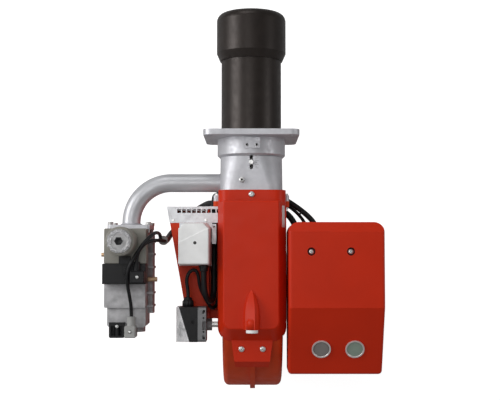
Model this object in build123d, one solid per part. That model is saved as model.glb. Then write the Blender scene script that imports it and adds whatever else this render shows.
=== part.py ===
from build123d import *
import math
import os

# Forced-draught gas burner, modelled in millimetres.
# Origin: centre of the boiler flange's front face, on the blast tube's axis.
# +Y runs forward along the tube into the boiler, +X to the right, +Z up.

os.makedirs("parts", exist_ok=True)

# ---- general fits -------------------------------------------------------
SEAT = 0.1               # gap between round pieces of one body
PLAY = 0.3               # gap between pieces that move past each other
RUNNING = 0.05           # radial play of a shaft or slide in its bore

# ---- combustion head ----------------------------------------------------
TUBE_R = 70.0            # blast tube, outer radius
TUBE_WALL = 3.0
TUBE_FRONT = 187.0
TUBE_REAR = -40.0        # the tube reaches back into the coupling's ring
HEAD_R = 81.0            # flared head shell, outer radius
HEAD_REAR = 171.0
HEAD_FLARE = 18.0        # length of the cone behind the head's cylinder
HEAD_FRONT = 284.0
HEAD_ROUND = 19.0        # rounding of the front edge
HEAD_WALL = 3.0

GAS_TUBE_R = 22.0
GAS_TUBE_WALL = 2.5
GAS_TUBE_REAR = -150.0
GAS_TUBE_FRONT = 206.0
HEAD_TRAVEL = 10.0       # the head slides this far either way
NOZZLE_R = 34.0
NOZZLE_LENGTH = 26.0
NOZZLE_PORTS = 12
NOZZLE_PORT_R = 2.6
DISC_R = 62.0            # flame-holding disc
DISC_T = 2.0
DISC_VANES = 16
DISC_HUB_R = 24.0
DISC_GAP = 2.4           # width of a vane's slit
ELECTRODE_R = 1.6
CERAMIC_R = 5.5
ELECTRODE_OFFSET = 42.0  # from the gas tube's axis
IGNITION_ANGLES = (60, 120)
PROBE_ANGLES = (270,)

# ---- boiler flange and coupling -----------------------------------------
FLANGE_SIDE = 218.0
FLANGE_T = 14.0
FLANGE_CORNER = 20.0
FLANGE_PITCH = 186.0     # between the stud holes
STUD_HOLE_R = 5.5
RING_R = 79.0            # coupling's front ring
RING_REAR = -52.0
RING_CHAMFER = 6.0
SLEEVE_HALF = 71.6       # half width of the coupling's sleeve
SLEEVE_TOP = 78.0        # top of the sleeve under the collar
SLEEVE_REAR = -158.0
SLEEVE_WALL = 5.0
SLEEVE_CORNER_FRONT = 58.0
SLEEVE_CORNER_REAR = 24.0
SLOT_Y = (-89.0, -56.0)
SLOT_W = 7.0
LOCK_Y = -72.5
LOCK_HEAD_R = 5.4
LOCK_SHANK_R = 3.0
PAD_X = (-18.0, 20.0)
PAD_Y = (-41.0, -16.0)
PAD_TOP = TUBE_R + 12.0
LUG_X = 81.5             # axis of the side bolts
LUG_R = 7.0
LUG_BOLT_R = 3.0
LUG_T = 14.0
MANIFOLD_HALF = 26.0     # half length of the gas inlet round the gas tube

# ---- gas line -----------------------------------------------------------
PIPE_R = 21.2
PIPE_WALL = 3.2
PIPE_Y = -115.4          # height of the pipe's straight run along the tube
BEND_R = 93.0
VALVE_X = -280.0         # valve train's axis
PIPE_END = -214.5
GFLANGE_X = (-329.5, -231.5)
GFLANGE_Z = (-57.0, 55.0)
GFLANGE_T = 9.5
GFLANGE_BOLT_X = 43.5    # half the bolt spacing
GFLANGE_BOLT_Z = 41.0
GFLANGE_BOLT_R = 4.0
GFLANGE_HEAD_R = 6.5
GFLANGE_HEAD_H = 7.0

# ---- gas valve ----------------------------------------------------------
BODY_X = (-336.0, -242.0)
BODY_Z = (-62.0, 50.0)
BODY_STEP = -404.0
BODY_REAR = -449.0
BODY_TAIL_TOP = 40.0
SIDE_X = -229.5          # outer face of the side chamber
SIDE_TOP = -16.0
INLET_R = 20.6
INLET_DEPTH = 24.0
INLET_HUB_R = 33.0
COIL_X = (-331.0, -236.2)
COIL_REAR = -303.0
COIL_TOP = 95.0
CAP_X = -286.5
CAP_Y = -254.0
CAP_R = 32.0
CAP_TOP = 170.0
KNOB_R = 26.0
KNOB_T = 16.0
KNOB_LOBES = 10
KNOB_HEX_R = 10.5
SWITCH_X = (-334.0, -236.5)
SWITCH_REAR = -349.0
SWITCH_TOP = 100.0
DIAL_XY = (-286.5, -319.5)
DIAL_R = 6.0
LATCH_X = (-295.6, -269.6)
DIAL_T = 4.5
PLUG_BLACK_X = (-268.0, -237.0)
PLUG_BLACK_Y = (-346.0, -319.5)
PLUG_BLACK_TOP = 130.0
PLUG_GREY_X = (-287.0, -262.0)
PLUG_GREY_Y = (-471.0, -444.0)
PLUG_GREY_TOP = 70.0
GAS_SWITCH_X = (-324.0, -288.0)
GAS_SWITCH_Y = (-472.0, -437.0)
GAS_SWITCH_TOP = 53.0

# ---- fan housing --------------------------------------------------------
FAN_Y = -360.0           # fan and motor axis, parallel to X
FAN_Z = -150.0
SCROLL_START = -35.0     # angle of the cut-off, from +Y downwards
SCROLL_START_R = 136.0   # inner radius at the cut-off
SCROLL_REAR_R = 236.0    # inner radius at the back
SCROLL_WALL = 4.0
SCROLL_X = (-66.0, 72.0)
SCROLL_ROUND = 13.0
DUCT_FLOOR = -71.0
DUCT_TOP = 66.0
DUCT_FRONT = SLEEVE_REAR
EYE_R = 54.0
MOTOR_HOLE_R = 116.0
RIB_X = (-3.0, 9.0)
RIB_H = 8.0

WHEEL_R = 112.0
WHEEL_INNER = WHEEL_R - 24.0
WHEEL_X = (-52.0, 22.0)
WHEEL_PLATE_T = 2.0
BLADES = 32
BLADE_T = 1.6
BLADE_BOW = 9.0          # how far a blade's middle bows from its chord
HUB_R = 20.0
SHAFT_R = 9.0
EYE_LIP = 10.0           # length of the inlet lip inside the eye

PLATE_R = 124.0          # plate that closes the housing on the motor's side
PLATE_T = 5.0
MOTOR_FLANGE_R = 91.0
MOTOR_FLANGE_T = 9.0
MOTOR_R = 70.0
MOTOR_END = 252.0
MOTOR_FINS = 28
FIN_H = 8.0
FIN_T = 2.4
MOTOR_BOLT_RING = 84.0
PLATE_BOLT_RING = 119.5

# ---- red cover ----------------------------------------------------------
COVER_X = (-76.0, 79.6)
SCROLL_CREST_Y = FAN_Y - math.sqrt((SCROLL_REAR_R + SCROLL_WALL) ** 2 -
                                   (DUCT_TOP - FAN_Z) ** 2)
COVER_REAR = SCROLL_CREST_Y - 14.4
COVER_FRONT = -161.0
COVER_CORNER = 33.0
COVER_WALL = 3.0
COVER_SKIRT = 12.0       # lower edge of the skirt
COVER_SHOULDER = 62.0    # height where the sides start to lean in
PANEL_X = (-63.0, 62.0)
PANEL_REAR = -449.0
PANEL_CORNER = 18.0
COVER_TOP = 98.0
COLLAR_X = (-75.5, 78.7)
COLLAR_FRONT = -136.0
COLLAR_TOP = 84.0
COLLAR_CORNER = 26.0
COLLAR_SCREW_Y = -146.4
TONGUE_END = COVER_REAR - 59.0
TONGUE_X = 1.8
TONGUE_W = (93.0, 76.0)
TONGUE_BEND = COVER_REAR - 45.0
TONGUE_T = 3.0
TONGUE_TOP = 65.0
TONGUE_DROP = 16.0
TONGUE_SCREW_X = 24.0
TONGUE_SCREW_Y = COVER_REAR - 17.0
HOOD_TIP = -363.0
HOOD_BASE = -450.0
HOOD_X = (-18.0, 20.0)
HOOD_H = 27.0
SIGHT_R = 13.5
SIGHT_T = 7.0
SIGHT_BORE = 9.5
SCREW_HEAD_R = 6.6
SCREW_HEAD_H = 3.4
SCREW_R = 2.5

# ---- air intake ---------------------------------------------------------
INTAKE_FRONT = -172.0
INTAKE_REAR = -432.0
INTAKE_LEFT_FRONT = -196.0
INTAKE_LEFT_REAR = -148.5
INTAKE_TOP = 8.0
INTAKE_BOTTOM = -218.0
INTAKE_WALL = 3.5
GRILLE_T = 1.5
GRILLE_LAP = 36.5  # how far the grille laps back over the box
GRILLE_SLOT = 9.0
GRILLE_PITCH = 11.5
GRILLE_ROWS = 14
DAMPER_XY = (-131.0, -258.0)
DAMPER_SHAFT_R = 4.0
DAMPER_T = 2.0
DAMPER_LEFT = 41.0
DAMPER_RIGHT = 56.0
SERVO_X = (-163.0, -95.5)
SERVO_Y = (-304.5, -212.0)
SERVO_TOP = 110.0
SERVO_DRAFT = 4.0
SERVO_PLATE_T = 5.0
BRACKET_X = (-90.0, -81.0)
BRACKET_Y = (-258.0, -212.0)
BRACKET_TOP = 34.0
STEP_X = -98.0           # right of this the intake box is lower, for cables
STEP_TOP = -28.0
INTAKE_TOP_REAR = -417.0
SERVO_GLAND = (-108.0, 66.0)
GLAND_R = 10.5

# ---- air pressure switch ------------------------------------------------
AIR_Y = (-479.0, -401.0)
AIR_Z = (9.0, 83.0)
AIR_COVER_X = -169.0
AIR_HOUSING_X = (-139.0, -120.5)
AIR_HOUSING_LEAN = 24.0
AIR_BASE_X = -102.0
AIR_NIPPLE_Y = -442.5
AIR_NIPPLE_Z = 30.0
AIR_NIPPLE_R = 6.5
AIR_HEX = 24.0
AIR_GLAND_X = -144.5  # ---- electrical panel ---------------------------------------------------
PANEL_BOX_X = (83.0, 297.0)
PANEL_BOX_Y = (-554.0, -210.0)
PANEL_TOP = 120.0
PANEL_BOTTOM = -26.0
PANEL_FRONT_BEVEL = 22.0
PANEL_BEVEL_Y = -401.0
PANEL_REAR_Z = 50.0
PANEL_WALL = 3.0
PANEL_CORNER_R = 23.0
PANEL_REAR_CORNER = 9.0
PANEL_EDGE = 7.0
PANEL_SCREWS = ((133.5, -276.0), (221.5, -276.0))
RECESS_R = 9.0
RECESS_DEPTH = 9.0
BUTTON_X = (157.2, 232.8)
BUTTON_Y = -494.5
RING_OUT = 21.5
RING_IN = 18.0
RING_PROUD = 3.0


# ---- cables -------------------------------------------------------------
LEAD_R = 4.0
SWITCH_LEAD_R = 4.0
SERVO_CABLE_R = 6.6
CONDUIT_R = 7.5
PANEL_GLAND_Y = -252.0
PANEL_GLANDS = (114.0, 138.0, 162.0)

# ---- helpers ------------------------------------------------------------
def block(x, y, z):
    """A box between the low and high of each axis."""
    size = Box(abs(x[1] - x[0]), abs(y[1] - y[0]), abs(z[1] - z[0]))
    return Pos(sum(x) / 2, sum(y) / 2, sum(z) / 2) * size


def rod_x(x, y, z, radius):
    turned = Rot(0, 90, 0) * Cylinder(radius, abs(x[1] - x[0]))
    return Pos(sum(x) / 2, y, z) * turned


def rod_y(x, y, z, radius):
    turned = Rot(-90, 0, 0) * Cylinder(radius, abs(y[1] - y[0]))
    return Pos(x, sum(y) / 2, z) * turned


def rod_z(x, y, z, radius):
    return Pos(x, y, sum(z) / 2) * Cylinder(radius, abs(z[1] - z[0]))


def across(y):
    """Plane over X and Z that extrudes rearwards, towards -Y."""
    return Plane(origin=(0, y, 0), x_dir=(1, 0, 0), z_dir=(0, -1, 0))


def side(x):
    """Plane over Y and Z that extrudes to the right, towards +X."""
    return Plane(origin=(x, 0, 0), x_dir=(0, 1, 0), z_dir=(1, 0, 0))


def level(z):
    """Plane over X and Y that extrudes upwards."""
    return Plane(origin=(0, 0, z), x_dir=(1, 0, 0), z_dir=(0, 0, 1))


def turned(profile):
    """A solid of revolution about Y, from (radius, y) points."""
    face = make_face(Polyline(*[(r, y, 0) for r, y in profile], close=True))
    return revolve(face, Axis.Y)


def outline(x, y, front, rear):
    """A rectangle in X and Y with its front and rear corners rounded."""
    face = Pos(sum(x) / 2, sum(y) / 2) * Rectangle(x[1] - x[0], y[1] - y[0])
    face = fillet(face.vertices().group_by(Axis.Y)[-1], front)
    return fillet(face.vertices().group_by(Axis.Y)[0], rear)


def hex_prism_y(x, y, z, width):
    face = across(y[1]) * Pos(x, z) * RegularPolygon(width / math.sqrt(3), 6)
    return extrude(face, y[1] - y[0])


def screw_down(x, y, top, shank, head_r=SCREW_HEAD_R, head_h=SCREW_HEAD_H):
    """A pan-head screw that is driven down from the height top."""
    head = rod_z(x, y, (top, top + head_h), head_r)
    head = fillet(head.edges().group_by(Axis.Z)[-1], head_h * 0.45)
    driver = rod_z(x, y, (top + head_h * 0.4, top + head_h + 1), head_r * 0.3)
    return head - driver + rod_z(x, y, (top - shank, top), SCREW_R)


def save(shape, name):
    shape.label = name
    export_step(shape, f"parts/{name}.step")


def group(pieces):
    return Compound(children=[Solid(p.solid().wrapped) for p in pieces])


# ---- combustion head ----------------------------------------------------
def blast_tube():
    wall = TUBE_R - TUBE_WALL
    return turned([(wall, TUBE_REAR), (TUBE_R, TUBE_REAR),
                   (TUBE_R, TUBE_FRONT), (wall, TUBE_FRONT)])


def head_shell():
    """Flared shell over the tube's end, rounded in at the mouth."""
    neck = TUBE_R + SEAT
    cone = HEAD_REAR + HEAD_FLARE
    arc_y = HEAD_FRONT - HEAD_ROUND
    centre = HEAD_R - HEAD_ROUND
    bow = HEAD_ROUND / math.sqrt(2)
    inner_round = HEAD_ROUND - HEAD_WALL
    inner_bow = inner_round / math.sqrt(2)
    with BuildPart() as shell:
        with BuildSketch(Plane.XY):
            with BuildLine():
                Polyline((neck, HEAD_REAR), (neck + HEAD_WALL, HEAD_REAR),
                         (HEAD_R, cone), (HEAD_R, arc_y))
                ThreePointArc((HEAD_R, arc_y),
                              (centre + bow, arc_y + bow),
                              (centre, HEAD_FRONT))
                Line((centre, HEAD_FRONT), (centre, HEAD_FRONT - HEAD_WALL))
                ThreePointArc((centre, HEAD_FRONT - HEAD_WALL),
                              (centre + inner_bow, arc_y + inner_bow),
                              (HEAD_R - HEAD_WALL, arc_y))
                Polyline((HEAD_R - HEAD_WALL, arc_y),
                         (HEAD_R - HEAD_WALL, cone + 1),
                         (neck, TUBE_FRONT), (neck, HEAD_REAR))
            make_face()
        revolve(axis=Axis.Y)
    return shell.part


def gas_tube():
    """Inner tube that carries gas to the head, closed at its back."""
    bore = GAS_TUBE_R - GAS_TUBE_WALL
    tube = rod_y(0, (GAS_TUBE_REAR, GAS_TUBE_FRONT), 0, GAS_TUBE_R)
    tube -= rod_y(0, (GAS_TUBE_REAR + 4, GAS_TUBE_FRONT), 0, bore)
    port = MANIFOLD_HALF - HEAD_TRAVEL
    slot = block((-GAS_TUBE_R - 1, 0), (PIPE_Y - port, PIPE_Y + port),
                 (-12, 12))
    post = rod_z(0, LOCK_Y, (GAS_TUBE_R - 4, SLEEVE_HALF - SLEEVE_WALL - 3), 6)
    post -= rod_z(0, LOCK_Y, (0, SLEEVE_HALF), LOCK_SHANK_R)
    post -= rod_y(0, (LOCK_Y - 20, LOCK_Y + 20), 0, GAS_TUBE_R - 1)
    return tube - slot + post


def gas_distributor():
    """Nozzle cup on the gas tube's end, with a ring of ports."""
    rear = GAS_TUBE_FRONT - 12
    front = rear + NOZZLE_LENGTH
    neck = GAS_TUBE_R + SEAT
    cup = turned([(neck, rear), (neck + 3, rear), (NOZZLE_R, rear + 8),
                  (NOZZLE_R, front), (6, front), (6, front - 3),
                  (NOZZLE_R - 3, front - 3), (NOZZLE_R - 3, rear + 13),
                  (neck, rear + 13)])
    drill = Rot(90, 0, 0) * Cylinder(NOZZLE_PORT_R, 8)
    spokes = PolarLocations(NOZZLE_R - 7, NOZZLE_PORTS)
    for place in spokes:
        at = place.position
        cup -= Pos(at.X, front - 2, at.Y) * drill
    return cup


def flame_disc():
    """Round plate with slanted slits that set the air spinning."""
    rear = GAS_TUBE_FRONT - 12 + NOZZLE_LENGTH
    disc = rod_y(0, (rear, rear + DISC_T), 0, DISC_R)
    disc -= rod_y(0, (rear - 1, rear + DISC_T + 1), 0, DISC_HUB_R - 10)
    rim = rod_y(0, (rear, rear + 9), 0, DISC_R + 2)
    rim -= rod_y(0, (rear - 1, rear + 10), 0, DISC_R)
    reach = DISC_R - 6 - DISC_HUB_R
    slit = Pos(DISC_HUB_R + reach / 2, 0, 0) * Rot(35, 0, 0) * Box(
        reach, DISC_T * 5, DISC_GAP)
    vane = Pos(DISC_HUB_R + reach / 2, 0, 0) * Rot(35, 0, 0) * Pos(
        0, 3, DISC_GAP / 2 + 0.6) * Box(reach, 8, 1.2)
    for turn in range(DISC_VANES):
        spin = Pos(0, rear + DISC_T / 2, 0) * Rot(0, turn * 360 / DISC_VANES, 0)
        disc -= spin * slit
        disc += spin * vane
    disc -= block((-80, 80), (rear - 20, rear), (-80, 80))
    for angle in IGNITION_ANGLES + PROBE_ANGLES:
        x = ELECTRODE_OFFSET * math.cos(math.radians(angle))
        z = ELECTRODE_OFFSET * math.sin(math.radians(angle))
        disc -= rod_y(x, (rear - 1, rear + 30), z, CERAMIC_R + 1)
    return disc + rim


def rod_set(angles):
    """Electrodes in ceramic sleeves, beside the gas tube."""
    tip = GAS_TUBE_FRONT + NOZZLE_LENGTH + 6
    pieces = []
    for angle in angles:
        x = ELECTRODE_OFFSET * math.cos(math.radians(angle))
        z = ELECTRODE_OFFSET * math.sin(math.radians(angle))
        sleeve = rod_y(x, (90, tip - 14), z, CERAMIC_R)
        wire = rod_y(x, (70, tip), z, ELECTRODE_R)
        pieces.append(sleeve + wire)
    return pieces


def rod_clamp():
    """Strap on the gas tube that carries the three ceramic sleeves."""
    ring = rod_y(0, (120, 130), 0, ELECTRODE_OFFSET - CERAMIC_R)
    arms = []
    for angle in IGNITION_ANGLES + PROBE_ANGLES:
        x = ELECTRODE_OFFSET * math.cos(math.radians(angle))
        z = ELECTRODE_OFFSET * math.sin(math.radians(angle))
        arms.append(rod_y(x, (120, 130), z, CERAMIC_R + 3))
    for arm in arms:
        ring += arm
    for angle in IGNITION_ANGLES + PROBE_ANGLES:
        x = ELECTRODE_OFFSET * math.cos(math.radians(angle))
        z = ELECTRODE_OFFSET * math.sin(math.radians(angle))
        ring -= rod_y(x, (119, 131), z, CERAMIC_R + SEAT)
    return ring - rod_y(0, (119, 131), 0, GAS_TUBE_R + SEAT)


def head_lock_screw():
    """Screw that clamps the head through the slot in the coupling."""
    top = SLEEVE_HALF + 2.4
    head = hex_like(0, LOCK_Y, (top, top + 4.5), LOCK_HEAD_R)
    return head + rod_z(0, LOCK_Y, (GAS_TUBE_R + 3, top), LOCK_SHANK_R)


def hex_like(x, y, z, radius):
    """Round head with a washer face, driven by a socket."""
    head = rod_z(x, y, z, radius)
    head = fillet(head.edges().group_by(Axis.Z)[-1], 1.0)
    socket = level(z[1] - 2.4) * Pos(x, y) * RegularPolygon(radius * 0.42, 6)
    return head - extrude(socket, 4)


# ---- flange and coupling ------------------------------------------------
def mounting_flange():
    plate = extrude(across(0) * RectangleRounded(
        FLANGE_SIDE, FLANGE_SIDE, FLANGE_CORNER), FLANGE_T)
    plate = fillet(plate.edges().filter_by(GeomType.LINE).group_by(Axis.Y)[0],
                   2.0)
    plate -= rod_y(0, (-FLANGE_T - 1, 1), 0, TUBE_R + SEAT)
    half = FLANGE_PITCH / 2
    for x in (-half, half):
        for z in (-half, half):
            plate -= rod_y(x, (-FLANGE_T - 1, 1), z, STUD_HOLE_R)
    return plate


def sleeve_form(inset):
    """The coupling's sleeve: round-cornered at the back, rounder in front."""
    half = SLEEVE_HALF - inset
    top = SLEEVE_TOP - inset
    rise = (top - half) / 2
    front = across(RING_REAR - RING_CHAMFER) * RectangleRounded(
        2 * half, 2 * half, SLEEVE_CORNER_FRONT - inset)
    rear = across(SLEEVE_REAR) * Pos(0, rise) * RectangleRounded(
        2 * half, half + top, SLEEVE_CORNER_REAR - inset)
    return loft([front, rear])


def pipe_coupling():
    """Cast coupling between the boiler flange and the fan housing."""
    ring = rod_y(0, (RING_REAR, -FLANGE_T), 0, RING_R)
    cone = turned([(0, RING_REAR), (RING_R, RING_REAR),
                   (RING_R - RING_CHAMFER, RING_REAR - RING_CHAMFER),
                   (0, RING_REAR - RING_CHAMFER)])
    pad = extrude(level(60) * outline(PAD_X, PAD_Y, 0.5, 4), PAD_TOP - 60)
    body = ring + cone + pad + sleeve_form(0)
    boss = rod_x((-SLEEVE_HALF - 2.4, -50), PIPE_Y, 0, PIPE_R + 1)
    body += boss
    for sign in (-1, 1):
        lug = rod_y(sign * LUG_X, (SLEEVE_REAR, SLEEVE_REAR + LUG_T), 0, LUG_R)
        root = block((min(0, sign * LUG_X), max(0, sign * LUG_X)),
                     (SLEEVE_REAR, SLEEVE_REAR + LUG_T), (-LUG_R, LUG_R))
        body += lug + root
    body -= rod_y(0, (TUBE_REAR, 1), 0, TUBE_R + SEAT)
    body -= rod_y(0, (RING_REAR - RING_CHAMFER - 1, TUBE_REAR), 0,
                  SLEEVE_HALF - SLEEVE_WALL)
    body -= sleeve_form(SLEEVE_WALL)
    manifold = rod_y(0, (PIPE_Y - MANIFOLD_HALF, PIPE_Y + MANIFOLD_HALF), 0,
                     GAS_TUBE_R + 8)
    manifold += rod_x((-SLEEVE_HALF + 1, 0), PIPE_Y, 0, PIPE_R + 2)
    manifold += block((0, SLEEVE_HALF - 1), (PIPE_Y - 20, PIPE_Y + 20), (-3, 3))
    manifold += block((-3, 3), (PIPE_Y - 20, PIPE_Y + 20),
                      (1 - SLEEVE_HALF, 0))
    body += manifold
    body -= rod_x((-SLEEVE_HALF - 3, 0), PIPE_Y, 0, PIPE_R - PIPE_WALL)
    body -= rod_y(0, (PIPE_Y - MANIFOLD_HALF - 1, PIPE_Y + MANIFOLD_HALF + 1), 0,
                  GAS_TUBE_R + RUNNING)
    for sign in (-1, 1):
        body -= rod_y(sign * LUG_X, (SLEEVE_REAR - 1, SLEEVE_REAR + LUG_T + 1),
                      0, LUG_BOLT_R + SEAT)
    for x, y in pad_screw_places():
        body -= rod_z(x, y, (PAD_TOP - 7, PAD_TOP + 1), SCREW_R + SEAT)
    slot_mid = sum(SLOT_Y) / 2
    slot = level(SLEEVE_HALF - 12) * Pos(0, slot_mid) * Rot(0, 0, 90) * SlotOverall(
        SLOT_Y[1] - SLOT_Y[0], SLOT_W)
    body -= extrude(slot, 30)
    return body


def pad_screw_places():
    return [(x, (PAD_Y[0] + PAD_Y[1]) / 2 - 5) for x in (-10.0, 12.0)]


def grille_screw_places():
    y = INTAKE_FRONT - GRILLE_LAP + 6
    return [(INTAKE_LEFT_FRONT + 14, y), (STEP_X - 8, y)]


def coupling_screws():
    """Small screws: two on the coupling's pad, two on the intake grille."""
    pieces = [screw_down(x, y, PAD_TOP, 6, 3.2, 2.0) for x, y in pad_screw_places()]
    for x, y in grille_screw_places():
        pieces.append(screw_down(x, y, INTAKE_TOP + GRILLE_T, 5, 3.2, 2.0))
    return pieces


def test_nipple(place, radius, length):
    """A hollow pressure test point that stands on the plane place."""
    stem = extrude(place * Circle(radius), length)
    return stem - extrude(place.offset(length * 0.4) * Circle(radius * 0.5), length)


def test_nipples():
    top = Plane(origin=(-21.6, -113, 75.7))
    left = Plane(origin=(COIL_X[0], -283, 60), x_dir=(0, 1, 0), z_dir=(-1, 0, 0))
    right = Plane(origin=(BODY_X[1], -339.5, 12.5), x_dir=(0, 1, 0), z_dir=(1, 0, 0))
    return [test_nipple(top, 5.5, 8), test_nipple(left, 4.5, 10),
            test_nipple(right, 5.5, 24)]


# ---- gas line -----------------------------------------------------------
def bent_tube(points, bend, radius):
    """A solid tube along straight runs and tangent bends."""
    path = FilletPolyline(*points, radius=bend)
    start = path.edges()[0]
    section = Plane(origin=start @ 0, z_dir=start % 0) * Circle(radius)
    return sweep(section, path)


def gas_pipe():
    rear = [(-SLEEVE_HALF - 2.4, PIPE_Y, 0), (VALVE_X, PIPE_Y, 0),
            (VALVE_X, PIPE_END, 0)]
    outer = bent_tube(rear, BEND_R - 0.001, PIPE_R)
    inner = bent_tube(rear, BEND_R - 0.001, PIPE_R - PIPE_WALL)
    return outer - inner


def bolt_places():
    return [(VALVE_X + sx * GFLANGE_BOLT_X, -1 + sz * GFLANGE_BOLT_Z)
            for sx in (-1, 1) for sz in (-1, 1)]


def gas_flange():
    """Plate flange with a raised hub on the pipe's end."""
    mid_x = sum(GFLANGE_X) / 2
    mid_z = sum(GFLANGE_Z) / 2
    plate = extrude(across(PIPE_END) * Pos(mid_x, mid_z) * RectangleRounded(
        GFLANGE_X[1] - GFLANGE_X[0], GFLANGE_Z[1] - GFLANGE_Z[0], 8), GFLANGE_T)
    hub_y = PIPE_END + 4
    plate += turned([(0, PIPE_END), (PIPE_R + 7, PIPE_END),
                     (PIPE_R + 2, hub_y), (0, hub_y)]).moved(Pos(VALVE_X, 0, 0))
    plate -= rod_y(VALVE_X, (PIPE_END, hub_y + 1), 0, PIPE_R + SEAT)
    plate -= rod_y(VALVE_X, (PIPE_END - GFLANGE_T - 1, PIPE_END + 1), 0,
                   PIPE_R - PIPE_WALL)
    for x, z in bolt_places():
        plate -= rod_y(x, (PIPE_END - GFLANGE_T - 1, PIPE_END + 1), z,
                       GFLANGE_BOLT_R + SEAT)
    return plate


def flange_bolts():
    """Four cap screws through the plate flange into the valve."""
    pieces = []
    for x, z in bolt_places():
        bolt = rod_y(x, (PIPE_END, PIPE_END + GFLANGE_HEAD_H), z, GFLANGE_HEAD_R)
        bolt -= hex_prism_y(x, (PIPE_END + 3, PIPE_END + 9), z, 6)
        bolt += rod_y(x, (PIPE_END - GFLANGE_T - 9, PIPE_END), z, GFLANGE_BOLT_R)
        pieces.append(bolt)
    return pieces


def valve_body():
    """Cast block of the gas valve, with its side chamber and inlet hub."""
    front = PIPE_END - GFLANGE_T
    body = block(BODY_X, (BODY_STEP, front), BODY_Z)
    body = fillet(body.edges().filter_by(Axis.Z), 3)
    body -= block(COIL_X, (COIL_REAR, front), (BODY_Z[1] - 4, BODY_Z[1] + 1))
    tail_x = (BODY_X[0] + 6, BODY_X[1])
    tail = block(tail_x, (BODY_REAR, BODY_STEP + 1), (BODY_Z[0], BODY_TAIL_TOP))
    body += chamfer(tail.edges().filter_by(Axis.Z).group_by(Axis.Y)[0], 5)
    chamber = block((BODY_X[1] - 1, SIDE_X), (BODY_REAR + 30, front - 12),
                    (BODY_Z[0] + 4, SIDE_TOP))
    body += fillet(chamber.edges().filter_by(Axis.Y).group_by(Axis.X)[-1], 5)
    for y in range(int(BODY_REAR) + 45, int(front) - 20, 30):
        body += block((BODY_X[1] - 1, SIDE_X + 2), (y, y + 5),
                      (BODY_Z[0] + 4, SIDE_TOP + 22))
    hub = rod_y(VALVE_X, (BODY_REAR - 12, BODY_REAR + 1), -10, INLET_HUB_R)
    body += hub
    end = BODY_REAR - 12
    body -= rod_y(VALVE_X, (end - 1, end + INLET_DEPTH), -10, INLET_R)
    body -= rod_y(VALVE_X, (front - 22, front + 1), 0, PIPE_R - PIPE_WALL)
    for x, z in bolt_places():
        body -= rod_y(x, (front - 10, front + 1), z, GFLANGE_BOLT_R + SEAT)
    return body


def valve_coil_box():
    """Coil housing with the round cap of its plunger on top."""
    front = PIPE_END - GFLANGE_T
    base = BODY_Z[1] - 4
    box = block(COIL_X, (COIL_REAR, front), (base, COIL_TOP))
    box = fillet(box.edges().filter_by(Axis.Z), 3)
    box = fillet(box.edges().group_by(Axis.Z)[-1], 1.5)
    cap = rod_z(CAP_X, CAP_Y, (COIL_TOP - 1, CAP_TOP), CAP_R)
    cap = fillet(cap.edges().group_by(Axis.Z)[-1], 3)
    box += cap
    return box - rod_z(CAP_X, CAP_Y, (CAP_TOP - 14, CAP_TOP + 1), 5 + RUNNING)


def valve_knob():
    """Scalloped flow knob with a hexagon recess and a stub below."""
    base = CAP_TOP + PLAY
    knob = rod_z(CAP_X, CAP_Y, (base, base + KNOB_T), KNOB_R)
    knob = chamfer(knob.edges().group_by(Axis.Z)[-1], 2)
    for place in PolarLocations(KNOB_R + 4.5, KNOB_LOBES):
        at = place.position
        knob -= rod_z(CAP_X + at.X, CAP_Y + at.Y, (base + 2, base + KNOB_T + 1), 6.5)
    top = base + KNOB_T
    knob -= rod_z(CAP_X, CAP_Y, (top - 3, top + 1), 17)
    knob += rod_z(CAP_X, CAP_Y, (top - 4, top + 2), KNOB_HEX_R)
    socket = level(top - 3) * Pos(CAP_X, CAP_Y) * RegularPolygon(6, 6)
    knob -= extrude(socket, 9)
    return knob + rod_z(CAP_X, CAP_Y, (CAP_TOP - 13, base + 1), 5)


def switch_box():
    """Black switch housing across the valve, behind the coil."""
    body = block(SWITCH_X, (SWITCH_REAR, COIL_REAR), (BODY_Z[1], SWITCH_TOP))
    body = fillet(body.edges().filter_by(Axis.Z), 2)
    body = fillet(body.edges().group_by(Axis.Z)[-1], 1.2)
    x, y = DIAL_XY
    body += rod_z(x, y, (SWITCH_TOP - 1, SWITCH_TOP + 1.5), DIAL_R + 3)
    body -= rod_z(x, y, (SWITCH_TOP - 7, SWITCH_TOP + 2), 2.5 + RUNNING)
    body += rod_z(x, y - 14, (SWITCH_TOP - 1, SWITCH_TOP + 3), 4)
    return body + block((LATCH_X[0], LATCH_X[1]), (COIL_REAR - 1, CAP_Y - CAP_R - PLAY),
                        (COIL_TOP + PLAY, COIL_TOP + 14))


def valve_dial():
    x, y = DIAL_XY
    base = SWITCH_TOP + 1.5 + PLAY
    dial = rod_z(x, y, (base, base + DIAL_T), DIAL_R)
    dial -= block((x - 1, x + 1), (y - DIAL_R, y + DIAL_R),
                  (base + DIAL_T - 1.5, base + DIAL_T + 1))
    return dial + rod_z(x, y, (SWITCH_TOP - 6, base + 1), 2.5)


def din_plug(x, y, z, boss_x, boss_len, boss_z):
    """Square cable plug with a screw head on top and a round boss in front."""
    body = block(x, y, z)
    body = fillet(body.edges().filter_by(Axis.Z), 2.5)
    body = chamfer(body.edges().group_by(Axis.Z)[-1], 2)
    mid_x = sum(x) / 2
    mid_y = sum(y) / 2
    body -= rod_z(mid_x, mid_y, (z[1] - 2.5, z[1] + 1), 4.2)
    body += rod_z(mid_x, mid_y, (z[1] - 3, z[1] + 0.4), 3.4)
    radius = (boss_x[1] - boss_x[0]) / 2
    boss = rod_y(sum(boss_x) / 2, (y[1] - 2, y[1] + boss_len), boss_z, radius)
    boss = chamfer(boss.edges().group_by(Axis.Y)[-1], 1.5)
    return body + boss


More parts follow.
